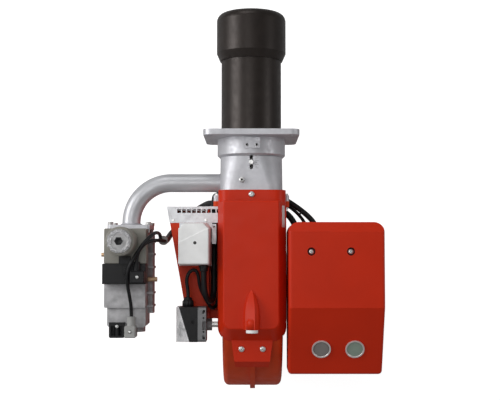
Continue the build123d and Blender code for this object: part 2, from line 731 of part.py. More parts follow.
def gas_pressure_switch():
    """Small black switch that overhangs the valve's rear end."""
    body = block(GAS_SWITCH_X, (GAS_SWITCH_Y[0], BODY_REAR - PLAY),
                 (26, GAS_SWITCH_TOP))
    body = fillet(body.edges().filter_by(Axis.Z).group_by(Axis.Y)[0], 4)
    body += block((GAS_SWITCH_X[1] - 1, PLUG_GREY_X[1]), (PLUG_GREY_Y[0] + 2,
                  BODY_REAR - PLAY), (26, BODY_TAIL_TOP))
    body += block(GAS_SWITCH_X, (BODY_REAR - 3, GAS_SWITCH_Y[1]),
                  (BODY_TAIL_TOP, GAS_SWITCH_TOP))
    body -= block((GAS_SWITCH_X[0] + 5, GAS_SWITCH_X[1] - 5),
                  (GAS_SWITCH_Y[0] + 5, BODY_REAR + 4),
                  (GAS_SWITCH_TOP - 12, GAS_SWITCH_TOP + 1))
    middle = sum(GAS_SWITCH_X) / 2
    return body + rod_y(middle, (GAS_SWITCH_Y[0] + 2, BODY_REAR - PLAY),
                        GAS_SWITCH_TOP - 12, 7)


# ---- fan housing --------------------------------------------------------
def scroll_points(offset, last):
    """Points of the spiral wall, from the cut-off to the back."""
    growth = math.log(SCROLL_REAR_R / SCROLL_START_R) / (180 - SCROLL_START)
    count = 14
    points = []
    for step in range(count + 1):
        angle = SCROLL_START + (last - SCROLL_START) * step / count
        radius = SCROLL_START_R * math.exp(growth * (angle - SCROLL_START))
        turn = math.radians(angle)
        points.append((FAN_Y + (radius + offset) * math.cos(turn),
                       FAN_Z - (radius + offset) * math.sin(turn)))
    return points


def scroll_face(offset, roof):
    """The scroll's side outline up to a flat roof."""
    points = scroll_points(offset, 180)
    radius = SCROLL_REAR_R + offset
    rise = roof - FAN_Z
    crest = (FAN_Y - math.sqrt(radius ** 2 - rise ** 2), roof)
    turn = math.asin(rise / radius) / 2
    middle = (FAN_Y - radius * math.cos(turn), FAN_Z + radius * math.sin(turn))
    curve = Spline(*points)
    arc = ThreePointArc(points[-1], middle, crest)
    roof_line = Line(crest, (points[0][0], roof))
    drop = Line((points[0][0], roof), points[0])
    return make_face([curve, arc, roof_line, drop])


def scroll_solid(offset, x, floor, roof, front, rounding):
    """The scroll, rounded along its sides, and its outlet duct."""
    scroll = extrude(side(x[0]) * scroll_face(offset, roof), x[1] - x[0])
    curved = [e for e in scroll.edges()
              if e.geom_type in (GeomType.BSPLINE, GeomType.CIRCLE)]
    scroll = fillet(curved, rounding)
    return scroll + block(x, (FAN_Y + 60, front), (floor, roof))


def fan_housing():
    """Cast scroll with its outlet duct, inlet eye and motor opening."""
    outer = scroll_solid(SCROLL_WALL, SCROLL_X, DUCT_FLOOR, DUCT_TOP,
                         DUCT_FRONT, SCROLL_ROUND)
    inner_x = (SCROLL_X[0] + SCROLL_WALL, SCROLL_X[1] - SCROLL_WALL)
    inner = scroll_solid(0, inner_x, DUCT_FLOOR + SCROLL_WALL,
                         DUCT_TOP - SCROLL_WALL, DUCT_FRONT + 1,
                         SCROLL_ROUND - SCROLL_WALL)
    rib = extrude(side(RIB_X[0]) * scroll_face(SCROLL_WALL + RIB_H, DUCT_TOP),
                  RIB_X[1] - RIB_X[0])
    rib &= block(RIB_X, (-700, TONGUE_END + 3), (FAN_Z - 120, 40))
    lip = extrude(across(DUCT_FRONT) * Pos(0, 0) * RectangleRounded(
        2 * SLEEVE_HALF, 2 * SLEEVE_HALF, 20), 10)
    body = outer + rib + lip
    for sign in (-1, 1):
        span = (DUCT_FRONT - LUG_T, DUCT_FRONT)
        body += rod_y(sign * LUG_X, span, 0, LUG_R)
        body += block((min(0, sign * LUG_X), max(0, sign * LUG_X)), span,
                      (-LUG_R, LUG_R))
    for x in (-TONGUE_SCREW_X, TONGUE_SCREW_X):
        body += rod_z(TONGUE_X + x, TONGUE_SCREW_Y, (20, TONGUE_TOP - TONGUE_T), 8)
    body -= inner
    for sign in (-1, 1):
        body -= rod_y(sign * LUG_X, (DUCT_FRONT - LUG_T - 1, DUCT_FRONT + 1), 0,
                      LUG_BOLT_R + SEAT)
    for x in (-TONGUE_SCREW_X, TONGUE_SCREW_X):
        body -= rod_z(TONGUE_X + x, TONGUE_SCREW_Y, (38, 80), SCREW_R + SEAT)
    eye = (SCROLL_X[0] - 1, inner_x[0] + 1)
    body += rod_x((SCROLL_X[0] + 1, inner_x[0] + EYE_LIP), FAN_Y, FAN_Z, EYE_R + 3)
    body -= rod_x((SCROLL_X[0] - 1, inner_x[0] + EYE_LIP + 1), FAN_Y, FAN_Z, EYE_R)
    body -= rod_x((inner_x[1] - 1, SCROLL_X[1] + 1), FAN_Y, FAN_Z, MOTOR_HOLE_R)
    nipple = (SCROLL_X[0] - 1, inner_x[0] + 1)
    body -= rod_x(nipple, AIR_NIPPLE_Y, AIR_NIPPLE_Z, AIR_NIPPLE_R + SEAT)
    return body


def fan_wheel():
    """Fan wheel with forward-curved blades between a plate and a ring."""
    left, right = WHEEL_X
    plate = rod_x((right - WHEEL_PLATE_T, right), 0, 0, WHEEL_R)
    ring = rod_x((left, left + WHEEL_PLATE_T), 0, 0, WHEEL_R)
    ring -= rod_x((left - 1, left + 3), 0, 0, WHEEL_INNER)
    hub = rod_x((right - 26, right + 14), 0, 0, HUB_R)
    bore = rod_x((right - 30, right + 20), 0, 0, SHAFT_R + RUNNING)
    sweep_back = math.radians(9)
    inner = (WHEEL_INNER, 0)
    outer = ((WHEEL_R - 0.5) * math.cos(sweep_back),
             (WHEEL_R - 0.5) * math.sin(sweep_back))
    mid = ((inner[0] + outer[0]) / 2 + BLADE_BOW * 0.45,
           (inner[1] + outer[1]) / 2 - BLADE_BOW)
    with BuildSketch(side(left + 1)) as blade:
        with BuildLine():
            ThreePointArc(inner, mid, outer)
            Line(outer, (outer[0] - BLADE_T * 0.6, outer[1] + BLADE_T))
            ThreePointArc((outer[0] - BLADE_T * 0.6, outer[1] + BLADE_T),
                          (mid[0] - BLADE_T * 0.4, mid[1] + BLADE_T),
                          (inner[0] - 0.2, inner[1] + BLADE_T))
            Line((inner[0] - 0.2, inner[1] + BLADE_T), inner)
        make_face()
    vane = extrude(blade.sketch, right - left - 2)
    wheel = plate + ring + hub
    vanes = [Rot(turn * 360 / BLADES, 0, 0) * vane for turn in range(BLADES)]
    wheel = wheel.fuse(*vanes) - bore
    return Pos(0, FAN_Y, FAN_Z) * wheel


def motor_shaft():
    shaft = rod_x((WHEEL_X[1] - 28, MOTOR_END - 12), FAN_Y, FAN_Z, SHAFT_R)
    return chamfer(shaft.edges().group_by(Axis.X)[0], 1.5)


def motor_plate():
    """Round plate over the housing's motor opening, with the motor's flange."""
    face = SCROLL_X[1]
    plate = rod_x((face, face + PLATE_T), FAN_Y, FAN_Z, PLATE_R)
    plate += rod_x((face - SCROLL_WALL, face), FAN_Y, FAN_Z, MOTOR_HOLE_R - PLAY)
    step = rod_x((face + PLATE_T - 1, face + PLATE_T + MOTOR_FLANGE_T), FAN_Y,
                 FAN_Z, MOTOR_FLANGE_R)
    plate += chamfer(step.edges().group_by(Axis.X)[-1], 3)
    return plate - rod_x((face - 9, face + 30), FAN_Y, FAN_Z, SHAFT_R + RUNNING)


def motor_housing():
    """Finned motor body with a domed end cap and a foot for the panel."""
    start = SCROLL_X[1] + PLATE_T + MOTOR_FLANGE_T
    body = rod_x((start, MOTOR_END - 14), 0, 0, MOTOR_R)
    cap = rod_x((MOTOR_END - 34, MOTOR_END), 0, 0, MOTOR_R + FIN_H)
    cap = fillet(cap.edges().group_by(Axis.X)[-1], 12)
    body += cap
    fin = block((start + 8, MOTOR_END - 40), (-FIN_T / 2, FIN_T / 2),
                (MOTOR_R - 1, MOTOR_R + FIN_H))
    fins = [Rot(turn * 360 / MOTOR_FINS, 0, 0) * fin for turn in range(MOTOR_FINS)]
    body = body.fuse(*fins)
    body -= rod_x((start - 1, MOTOR_END - 11), 0, 0, SHAFT_R + RUNNING)
    return Pos(0, FAN_Y, FAN_Z) * body


def motor_bolts():
    """Bolts of the motor's flange and of the housing plate."""
    face = SCROLL_X[1] + PLATE_T
    pieces = []
    rings = ((8, PLATE_BOLT_RING, face), (4, MOTOR_BOLT_RING, face + MOTOR_FLANGE_T))
    for count, radius, seat in rings:
        for turn in range(count):
            angle = math.radians(45 / (count / 4) + turn * 360 / count)
            y = FAN_Y + radius * math.cos(angle)
            z = FAN_Z + radius * math.sin(angle)
            head = extrude(side(seat) * Pos(y, z) * RegularPolygon(4.4, 6), 4)
            pieces.append(head)
    return pieces


def lug_bolts():
    """Side bolts that join the coupling to the fan housing."""
    pieces = []
    front = SLEEVE_REAR + LUG_T
    rear = DUCT_FRONT - LUG_T
    for sign in (-1, 1):
        x = sign * LUG_X
        bolt = rod_y(x, (rear - 9, front), 0, LUG_BOLT_R)
        bolt += hex_prism_y(x, (front, front + 4), 0, 8)
        bolt += hex_prism_y(x, (rear - 5, rear), 0, 8)
        pieces.append(bolt)
    return pieces


# ---- red cover ----------------------------------------------------------
def cover_form(inset, bottom):
    """Outer or inner form of the cover: skirt below, leaning sides above."""
    low_x = (COVER_X[0] + inset, COVER_X[1] - inset)
    top_x = (PANEL_X[0] + inset, PANEL_X[1] - inset)
    low = outline(low_x, (COVER_REAR + inset, COVER_FRONT), 6, COVER_CORNER - inset)
    top = outline(top_x, (PANEL_REAR + inset, COVER_FRONT), 6, PANEL_CORNER - inset)
    skirt = extrude(level(bottom) * low, COVER_SHOULDER - bottom)
    crown = loft([level(COVER_SHOULDER) * low, level(COVER_TOP - inset) * top])
    return skirt, crown


def hood():
    """Tapered hood over the sight glass, ridged to one side."""
    stations = ((0.0, 0.14, 0.05), (0.18, 0.62, 0.34), (0.48, 0.96, 0.72),
                (1.0, 1.0, 1.0))
    width = HOOD_X[1] - HOOD_X[0]
    base = COVER_TOP - 4
    sections = []
    for along, wide, high in stations:
        y = HOOD_TIP + (HOOD_BASE - HOOD_TIP) * along
        w = width * wide
        h = 4 + HOOD_H * high
        left = 1.0 - w / 2
        points = [(left, base), (left + 0.12 * w, base + 0.62 * h),
                  (left + 0.68 * w, base + h), (left + 0.88 * w, base + 0.72 * h),
                  (left + w, base)]
        sections.append(across(y) * make_face(Polyline(*points, close=True)))
    return loft(sections)


def tongue():
    """Flat tongue that screws down onto the scroll's bosses."""
    top = TONGUE_TOP
    drop = top - TONGUE_DROP
    start = COVER_REAR + 16
    profile = [(start, top), (TONGUE_BEND, top), (TONGUE_END, drop),
               (TONGUE_END, drop - TONGUE_T), (TONGUE_BEND, top - TONGUE_T),
               (start, top - TONGUE_T)]
    strip = extrude(side(TONGUE_X - 50) * make_face(Polyline(*profile, close=True)),
                    100)
    wide, narrow = TONGUE_W
    plan = [(TONGUE_X - wide / 2, COVER_REAR + 20), (TONGUE_X + wide / 2, COVER_REAR + 20),
            (TONGUE_X + wide / 2, COVER_REAR), (TONGUE_X + narrow / 2, TONGUE_END - 1),
            (TONGUE_X - narrow / 2, TONGUE_END - 1), (TONGUE_X - wide / 2, COVER_REAR)]
    return strip & extrude(level(-20) * make_face(Polyline(*plan, close=True)), 150)


def housing_cover():
    """Moulded red cover with its collar, raised panel, hood and tongue."""
    skirt, crown = cover_form(0, COVER_SKIRT)
    crown = fillet(crown.edges().group_by(Axis.Z)[-1], 4)
    inner_skirt, inner_crown = cover_form(COVER_WALL, COVER_SKIRT - 1)
    mid_x = sum(COLLAR_X) / 2
    width = COLLAR_X[1] - COLLAR_X[0]
    tall = COLLAR_TOP + SLEEVE_HALF
    band = extrude(across(COLLAR_FRONT) * Pos(mid_x, COLLAR_TOP - tall / 2) *
                   RectangleRounded(width, tall, COLLAR_CORNER),
                   COLLAR_FRONT - COVER_FRONT + 4)
    band &= block((-90, 90), (-200, -100), (COVER_SKIRT, 120))
    body = skirt + crown + band
    body -= inner_skirt
    body -= inner_crown
    body -= sleeve_clear()
    body -= block((SCROLL_X[0] - PLAY, SCROLL_X[1] + PLAY),
                  (COVER_FRONT - 8, DUCT_FRONT), (COVER_SKIRT - 1, DUCT_TOP + PLAY))
    body += hood()
    body += tongue()
    roof = DUCT_TOP + PLAY
    for x in (-30, 34):
        body += block((x, x + 3), (PANEL_REAR + 25, COVER_FRONT - 10),
                      (roof, COVER_TOP - COVER_WALL + 1))
    body -= scroll_keepout()
    body -= rod_z(0.5, COLLAR_SCREW_Y, (60, 120), SCREW_R + SEAT)
    for x in (-TONGUE_SCREW_X, TONGUE_SCREW_X):
        body -= rod_z(TONGUE_X + x, TONGUE_SCREW_Y, (20, 90), SCREW_R + SEAT)
    for sign in (-1, 1):
        body -= rod_y(sign * LUG_X, (DUCT_FRONT - LUG_T - 6, SLEEVE_REAR + LUG_T + 6),
                      0, LUG_R + 7)
    slot_r = AIR_NIPPLE_R + 2
    body -= rod_x((COVER_X[0] - 1, SCROLL_X[0]), AIR_NIPPLE_Y, AIR_NIPPLE_Z, slot_r)
    body -= block((COVER_X[0] - 1, SCROLL_X[0]), (AIR_NIPPLE_Y - slot_r,
                  AIR_NIPPLE_Y + slot_r), (COVER_SKIRT - 1, AIR_NIPPLE_Z))
    return body - hood_bore()


def sleeve_clear():
    """Room in the collar for the coupling's sleeve."""
    half = SLEEVE_HALF + SEAT
    top = SLEEVE_TOP + SEAT
    return extrude(across(COLLAR_FRONT + 1) * Pos(0, (top - half) / 2) *
                   RectangleRounded(2 * half, top + half, SLEEVE_CORNER_REAR - 4),
                   COLLAR_FRONT - COVER_FRONT + 8)


def scroll_keepout():
    """Room under the cover for the scroll and its tongue bosses."""
    gap = 0.5
    x = (SCROLL_X[0] - gap, SCROLL_X[1] + gap)
    room = extrude(side(x[0]) * scroll_face(SCROLL_WALL + gap, DUCT_TOP + PLAY),
                   x[1] - x[0])
    return room


def hood_bore():
    """Blind round pocket behind the hood's rear face for the sight ring."""
    return rod_y(1.5, (HOOD_BASE - 1, HOOD_BASE + 12), COVER_TOP + HOOD_H - 12.5,
                 SIGHT_BORE)


def sight_place():
    return 1.5, COVER_TOP + HOOD_H - 13.5


def sight_ring():
    x, z = sight_place()
    ring = rod_y(x, (HOOD_BASE - SIGHT_T, HOOD_BASE), z, SIGHT_R)
    ring = fillet(ring.edges().group_by(Axis.Y)[0], 1.2)
    return ring - rod_y(x, (HOOD_BASE - SIGHT_T - 1, HOOD_BASE + 1), z, SIGHT_BORE)


def sight_glass():
    x, z = sight_place()
    return rod_y(x, (HOOD_BASE - 5, HOOD_BASE - 2), z, SIGHT_BORE - 0.02)


def cover_screws():
    """Collar screw, the two tongue screws and the actuator cover's screw."""
    pieces = [screw_down(0.5, COLLAR_SCREW_Y, COLLAR_TOP, COLLAR_TOP - SLEEVE_TOP)]
    for x in (-TONGUE_SCREW_X, TONGUE_SCREW_X):
        pieces.append(screw_down(TONGUE_X + x, TONGUE_SCREW_Y, TONGUE_TOP, 14))
    pieces.append(screw_down(-126.0, -256.5, SERVO_TOP, 8, 4.6, 2.0))
    return pieces


# ---- air intake ---------------------------------------------------------
def intake_form(inset):
    """The intake box: tapering in plan, stepped down beside the housing."""
    left_front = INTAKE_LEFT_FRONT + inset
    left_rear = INTAKE_LEFT_REAR + inset
    rear = INTAKE_REAR + inset
    right = SCROLL_X[0] - inset
    front = INTAKE_FRONT + (1 if inset else 0)
    plan = [(right, front), (left_front, front), (left_rear, rear), (right, rear)]
    body = extrude(level(INTAKE_BOTTOM + inset) * make_face(
        Polyline(*plan, close=True)), INTAKE_TOP - INTAKE_BOTTOM - 2 * inset)
    slope = [(INTAKE_TOP_REAR + inset, INTAKE_TOP + 1), (rear - 1, INTAKE_TOP + 1),
             (rear - 1, INTAKE_TOP - 22 - inset),
             (INTAKE_TOP_REAR + inset, INTAKE_TOP - inset)]
    body -= extrude(side(-260) * make_face(Polyline(*slope, close=True)), 220)
    return body - block((STEP_X - inset, SCROLL_X[0] + 1),
                        (INTAKE_REAR - 1, INTAKE_FRONT + 2),
                        (STEP_TOP - inset, INTAKE_TOP + 1))


def intake_box():
    """Hollow red box, open in front and at the fan's eye."""
    body = intake_form(0) - intake_form(INTAKE_WALL)
    body -= rod_x((SCROLL_X[0] - INTAKE_WALL - 1, SCROLL_X[0] + 1), FAN_Y, FAN_Z,
                  EYE_R)
    x, y = DAMPER_XY
    body -= rod_z(x, y, (INTAKE_TOP - 5, INTAKE_TOP + 1), DAMPER_SHAFT_R + RUNNING)
    for sx, sy in grille_screw_places():
        body -= rod_z(sx, sy, (INTAKE_TOP - 5, INTAKE_TOP + 1), SCREW_R + SEAT)
    body -= block((INTAKE_LEFT_FRONT + 22, SCROLL_X[0] - INTAKE_WALL),
                  (INTAKE_FRONT - 18, INTAKE_FRONT + 1),
                  (INTAKE_TOP - 5, INTAKE_TOP + 1))
    foot = rod_z(x, y, (INTAKE_BOTTOM, INTAKE_BOTTOM + 7), 9)
    body += foot
    return body - rod_z(x, y, (INTAKE_BOTTOM + 1.5, INTAKE_BOTTOM + 8),
                        DAMPER_SHAFT_R + RUNNING)


def intake_grille():
    """Bent sheet over the intake's mouth, with rows of square slots."""
    left = INTAKE_LEFT_FRONT - 1
    right = COVER_X[0] - 2
    front = INTAKE_FRONT
    lap = front - GRILLE_LAP
    top = block((left, right), (lap, front + GRILLE_T),
                (INTAKE_TOP, INTAKE_TOP + GRILLE_T))
    taper = (INTAKE_LEFT_REAR - INTAKE_LEFT_FRONT) / (INTAKE_FRONT - INTAKE_REAR)
    edge = [(left - 5, front + 3), (left, front + 3), (left + GRILLE_LAP * taper, lap),
            (left + GRILLE_LAP * taper, lap - 1), (left - 5, lap - 1)]
    top -= extrude(level(INTAKE_TOP - 1) * make_face(Polyline(*edge, close=True)), 5)
    face = block((left, STEP_X), (front, front + GRILLE_T),
                 (INTAKE_BOTTOM, INTAKE_TOP + GRILLE_T))
    face += block((STEP_X, SCROLL_X[0]), (front, front + GRILLE_T),
                  (INTAKE_BOTTOM, STEP_TOP))
    count = 9
    mid = (left + 13 + right) / 2
    columns = GridLocations(GRILLE_PITCH, GRILLE_PITCH, count, GRILLE_ROWS)
    slot = Box(GRILLE_SLOT, 6, GRILLE_SLOT)
    mid_z = (INTAKE_BOTTOM + STEP_TOP) / 2
    slots = [Pos(mid + p.position.X, front, mid_z + p.position.Y) * slot
             for p in columns]
    slots += [Pos(mid + 9 + p.position.X, front - 9, INTAKE_TOP) * slot.rotate(
        Axis.X, 90) for p in GridLocations(GRILLE_PITCH, 1, count, 1)]
    slots += [rod_z(x, y, (INTAKE_TOP - 1, INTAKE_TOP + 3), SCREW_R + SEAT)
              for x, y in grille_screw_places()]
    return (top + face).cut(*slots)


def damper_blade():
    """Flat air damper with a sleeve that is pinned to its shaft."""
    x, y = DAMPER_XY
    low = INTAKE_BOTTOM + INTAKE_WALL + 5
    high = INTAKE_TOP - INTAKE_WALL - 3
    blade = block((x - DAMPER_LEFT, x + DAMPER_RIGHT), (y - DAMPER_T / 2,
                  y + DAMPER_T / 2), (low, high))
    blade -= block((STEP_X - 8, x + DAMPER_RIGHT + 1), (y - 3, y + 3),
                   (STEP_TOP - INTAKE_WALL - 3, high + 1))
    blade += rod_z(x, y, (low, high), DAMPER_SHAFT_R + 2.5)
    return blade - rod_z(x, y, (low - 1, high + 1), DAMPER_SHAFT_R + RUNNING)


def damper_shaft():
    x, y = DAMPER_XY
    return rod_z(x, y, (INTAKE_BOTTOM + 1.8, INTAKE_TOP + SERVO_PLATE_T + 30),
                 DAMPER_SHAFT_R)


def servo_base():
    """Actuator's foot plate and gear block, bored for the damper shaft."""
    floor = INTAKE_TOP
    inset = 4
    plate_x = (SERVO_X[0] - SERVO_DRAFT, SERVO_X[1] + SERVO_DRAFT)
    plate_y = (SERVO_Y[0] - SERVO_DRAFT, SERVO_Y[1] + SERVO_DRAFT - 1)
    plate = block(plate_x, plate_y, (floor, floor + SERVO_PLATE_T))
    gear = block((SERVO_X[0] + inset, SERVO_X[1] - inset),
                 (SERVO_Y[0] + inset + 3, SERVO_Y[1] - inset - 20),
                 (floor + SERVO_PLATE_T, SERVO_TOP - 10))
    x, y = DAMPER_XY
    bore = rod_z(x, y, (floor - 1, floor + SERVO_PLATE_T + 32), DAMPER_SHAFT_R + RUNNING)
    tab = block((SERVO_X[1], BRACKET_X[1]), (BRACKET_Y[0] + 6, BRACKET_Y[1] - 6),
                (floor + SERVO_PLATE_T - 2, floor + SERVO_PLATE_T))
    upright = block((BRACKET_X[0], BRACKET_X[0] + 2),
                    (BRACKET_Y[0] + 6, BRACKET_Y[1] - 6),
                    (floor + SERVO_PLATE_T - 2, BRACKET_TOP))
    bar = block(BRACKET_X, BRACKET_Y, (BRACKET_TOP - 2, BRACKET_TOP))
    bar -= rod_z(sum(BRACKET_X) / 2, BRACKET_Y[1] - 7, (BRACKET_TOP - 3,
                 BRACKET_TOP + 1), 2.6)
    body = plate + gear + tab + upright + bar
    body -= rod_y(SERVO_GLAND[0], (SERVO_Y[0], SERVO_Y[0] + 20), SERVO_GLAND[1], 4)
    return body - bore


def servo_cover():
    """Drafted white cover with chamfered front corners."""
    floor = INTAKE_TOP + SERVO_PLATE_T

    def form(inset):
        rects = []
        for spread, z in ((SERVO_DRAFT, floor), (0, SERVO_TOP - inset)):
            x = (SERVO_X[0] - spread + inset, SERVO_X[1] + spread - inset)
            y = (SERVO_Y[0] - spread + inset, SERVO_Y[1] + spread - inset - 1)
            face = Pos(sum(x) / 2, sum(y) / 2) * Rectangle(x[1] - x[0], y[1] - y[0])
            face = chamfer(face.vertices().group_by(Axis.Y)[-1], 12)
            rects.append(level(z) * fillet(face.vertices().group_by(Axis.Y)[0], 3))
        return loft(rects)

    shell = form(0)
    shell = fillet(shell.edges().group_by(Axis.Z)[-1], 1.5)
    shell -= form(2.5)
    shell -= rod_y(SERVO_GLAND[0], (SERVO_Y[0] - 12, SERVO_Y[0] + 5),
                   SERVO_GLAND[1], GLAND_R - 2 + SEAT)
    return shell - rod_z(-126.0, -256.5, (SERVO_TOP - 6, SERVO_TOP + 1),
                         SCREW_R + SEAT)


# ---- air pressure switch ------------------------------------------------
def switch_plan(points, inset=0.0):
    low = AIR_Z[0] + inset
    return extrude(level(low) * make_face(Polyline(*points, close=True)),
                   AIR_Z[1] - AIR_Z[0] - 2 * inset)


def air_switch_base():
    """Grey diaphragm housing with a hexagon neck towards the nipple."""
    base = block((AIR_HOUSING_X[1], AIR_BASE_X), AIR_Y, AIR_Z)
    base = fillet(base.edges().filter_by(Axis.X), 6)
    pocket_y = (AIR_NIPPLE_Y - 10, AIR_NIPPLE_Y + 10)
    for step in (-26, 26):
        y = sum(AIR_Y) / 2 + step
        base -= rod_z(AIR_BASE_X - 6, y, (AIR_Z[1] - 6, AIR_Z[1] + 1), 2.4)
    base -= block((AIR_BASE_X - 8, AIR_BASE_X + 1), pocket_y, (AIR_Z[1] - 12,
                                                               AIR_Z[1] + 1))
    neck = extrude(side(AIR_BASE_X - 1) * Pos(AIR_NIPPLE_Y, AIR_NIPPLE_Z) *
                   RegularPolygon(AIR_HEX / math.sqrt(3), 6), 13)
    base += neck
    end = AIR_BASE_X + 13
    return base - rod_x((AIR_BASE_X + 2, end), AIR_NIPPLE_Y, AIR_NIPPLE_Z,
                        AIR_NIPPLE_R + SEAT)


def air_switch_housing():
    """Black middle part whose left face leans across the switch."""
    left, right = AIR_HOUSING_X
    lean = left - AIR_HOUSING_LEAN
    body = switch_plan([(lean, AIR_Y[1]), (right, AIR_Y[1]), (right, AIR_Y[0]),
                        (left, AIR_Y[0])])
    body -= rod_z(right - 11, AIR_Y[0] + 44, (AIR_Z[1] - 5, AIR_Z[1] + 1), 4)
    mid_z = sum(AIR_Z) / 2
    body -= rod_x((left - 30, left + 6), AIR_Y[0] + 26, mid_z, 3 + RUNNING)
    return body - rod_y(AIR_GLAND_X, (AIR_Y[1] - 8, AIR_Y[1] + 1), mid_z,
                        GLAND_R - 2 + SEAT)


def air_switch_cover():
    """Clear hood over the adjusting dial."""
    left = AIR_HOUSING_X[0]
    lean = left - AIR_HOUSING_LEAN
    wall = 2.0
    outer = switch_plan([(AIR_COVER_X, AIR_Y[1]), (lean, AIR_Y[1]),
                         (left, AIR_Y[0]), (AIR_COVER_X, AIR_Y[0])])
    inner = switch_plan([(AIR_COVER_X + wall, AIR_Y[1] - wall),
                         (lean + 2 * wall, AIR_Y[1] - wall),
                         (left + wall, AIR_Y[0] + wall),
                         (AIR_COVER_X + wall, AIR_Y[0] + wall)], wall)
    return outer - inner


def air_switch_dial():
    """Round dial that sets the switching pressure."""
    mid_z = sum(AIR_Z) / 2
    y = AIR_Y[0] + 26
    dial = rod_x((AIR_COVER_X + 4, AIR_COVER_X + 11), y, mid_z, 17)
    dial = chamfer(dial.edges().group_by(Axis.X)[0], 1)
    dial -= block((AIR_COVER_X + 3, AIR_COVER_X + 6), (y - 8, y + 8),
                  (mid_z - 1, mid_z + 1))
    return dial + rod_x((AIR_COVER_X + 10, AIR_HOUSING_X[0] + 4), y, mid_z, 3)


def air_switch_nipple():
    """Pipe from the switch into the fan housing."""
    pipe = rod_x((AIR_BASE_X + 3, SCROLL_X[0] + SCROLL_WALL), AIR_NIPPLE_Y,
                 AIR_NIPPLE_Z, AIR_NIPPLE_R)
    return pipe - rod_x((AIR_BASE_X + 2, SCROLL_X[0] + SCROLL_WALL + 1),
                        AIR_NIPPLE_Y, AIR_NIPPLE_Z, AIR_NIPPLE_R - 2)


# ---- electrical panel ---------------------------------------------------
def panel_form(inset):
    """The cover's form: bevelled in front, sloping down behind."""
    x = (PANEL_BOX_X[0] + inset, PANEL_BOX_X[1] - inset)
    y = (PANEL_BOX_Y[0] + inset, PANEL_BOX_Y[1] - inset)
    top = PANEL_TOP - inset
    low = PANEL_BOTTOM - (1 if inset else 0)
    plan = extrude(level(low) * outline(x, y, PANEL_CORNER_R - inset,
                                        PANEL_REAR_CORNER - inset), top - low)
    drop = PANEL_FRONT_BEVEL * 0.7
    profile = [(y[0] - 1, low), (y[1] + 1, low), (y[1] + 1, top - drop),
               (PANEL_BOX_Y[1] - PANEL_FRONT_BEVEL, top), (PANEL_BEVEL_Y, top),
               (PANEL_BOX_Y[0], PANEL_REAR_Z - inset), (y[0] - 1, PANEL_REAR_Z - inset)]
    return plan & extrude(side(x[0] - 5) * make_face(Polyline(*profile, close=True)),
                          x[1] - x[0] + 10)


def panel_cover():
    """Red panel cover with two recessed screws and two round openings."""
    body = panel_form(0)
    crest = [e for e in body.edges() if e.center().Z > PANEL_REAR_Z - 5
             and abs(e.center().X - PANEL_BOX_X[0]) < 1.0
             or e.center().Z > PANEL_REAR_Z - 5
             and abs(e.center().X - PANEL_BOX_X[1]) < 1.0]
    crest = [e for e in crest if e.length > 40]
    body = fillet(crest, PANEL_EDGE)
    body -= panel_form(PANEL_WALL)
    for x, y in PANEL_SCREWS:
        cup = rod_z(x, y, (PANEL_TOP - RECESS_DEPTH - 3, PANEL_TOP - 1), RECESS_R + 2)
        body += cup
        body -= rod_z(x, y, (PANEL_TOP - RECESS_DEPTH, PANEL_TOP + 1), RECESS_R)
        body -= rod_z(x, y, (PANEL_TOP - 30, PANEL_TOP), SCREW_R + SEAT)
    for x in BUTTON_X:
        body -= extrude(bevel_plane(x, -10) * Circle(RING_IN + PLAY), 20)
    return body


def bevel_plane(x, above):
    """Plane on the panel's rear bevel, moved out by above."""
    rise = PANEL_TOP - PANEL_REAR_Z
    run = PANEL_BEVEL_Y - PANEL_BOX_Y[0]
    length = math.hypot(rise, run)
    normal = (0, -rise / length, run / length)
    z = PANEL_TOP - rise * (PANEL_BEVEL_Y - BUTTON_Y) / run
    origin = (x, BUTTON_Y + normal[1] * above, z + normal[2] * above)
    return Plane(origin=origin, x_dir=(1, 0, 0), z_dir=normal)


def button_rings():
    pieces = []
    for x in BUTTON_X:
        ring = extrude(bevel_plane(x, 0) * (Circle(RING_OUT) - Circle(RING_IN)),
                       RING_PROUD)
        pieces.append(chamfer(ring.edges().filter_by(GeomType.CIRCLE)
                              .sort_by(Axis.Z)[-1], 1))
    return pieces


def pushed(x, radius, proud, flange):
    """Round button or lens with a retaining flange under the cover."""
    under = PANEL_WALL + PLAY
    head = extrude(bevel_plane(x, -under - 1) * Circle(radius), under + 1 + proud)
    return head + extrude(bevel_plane(x, -under - 3) * Circle(flange), 3)


def panel_base():
    """Tray under the cover, on two saddles that stand on the motor."""
    gap = PANEL_WALL + PLAY
    x = (PANEL_BOX_X[0] + gap, PANEL_BOX_X[1] - gap)
    y = (PANEL_BOX_Y[0] + gap, PANEL_BOX_Y[1] - gap)
    tray = extrude(level(PANEL_BOTTOM) * outline(x, y, PANEL_CORNER_R - gap, 6), 3)
    for px, py in PANEL_SCREWS:
        tray += rod_z(px, py, (PANEL_BOTTOM, PANEL_TOP - RECESS_DEPTH - 3), 6)
    for sx in (110.0, 200.0):
        tray += block((sx, sx + 5), (FAN_Y - 45, FAN_Y + 45),
                      (FAN_Z + MOTOR_R - 10, PANEL_BOTTOM + 1))
    tray -= rod_x((100, MOTOR_END + 5), FAN_Y, FAN_Z, MOTOR_R + FIN_H + SEAT)
    for gx in PANEL_GLANDS:
        tray -= rod_z(gx, PANEL_GLAND_Y, (PANEL_BOTTOM - 1, PANEL_BOTTOM + 4),
                      GLAND_R - 2 + SEAT)
    for px, py in PANEL_SCREWS:
        tray -= rod_z(px, py, (PANEL_TOP - RECESS_DEPTH - 20, PANEL_TOP), SCREW_R + SEAT)
    return tray


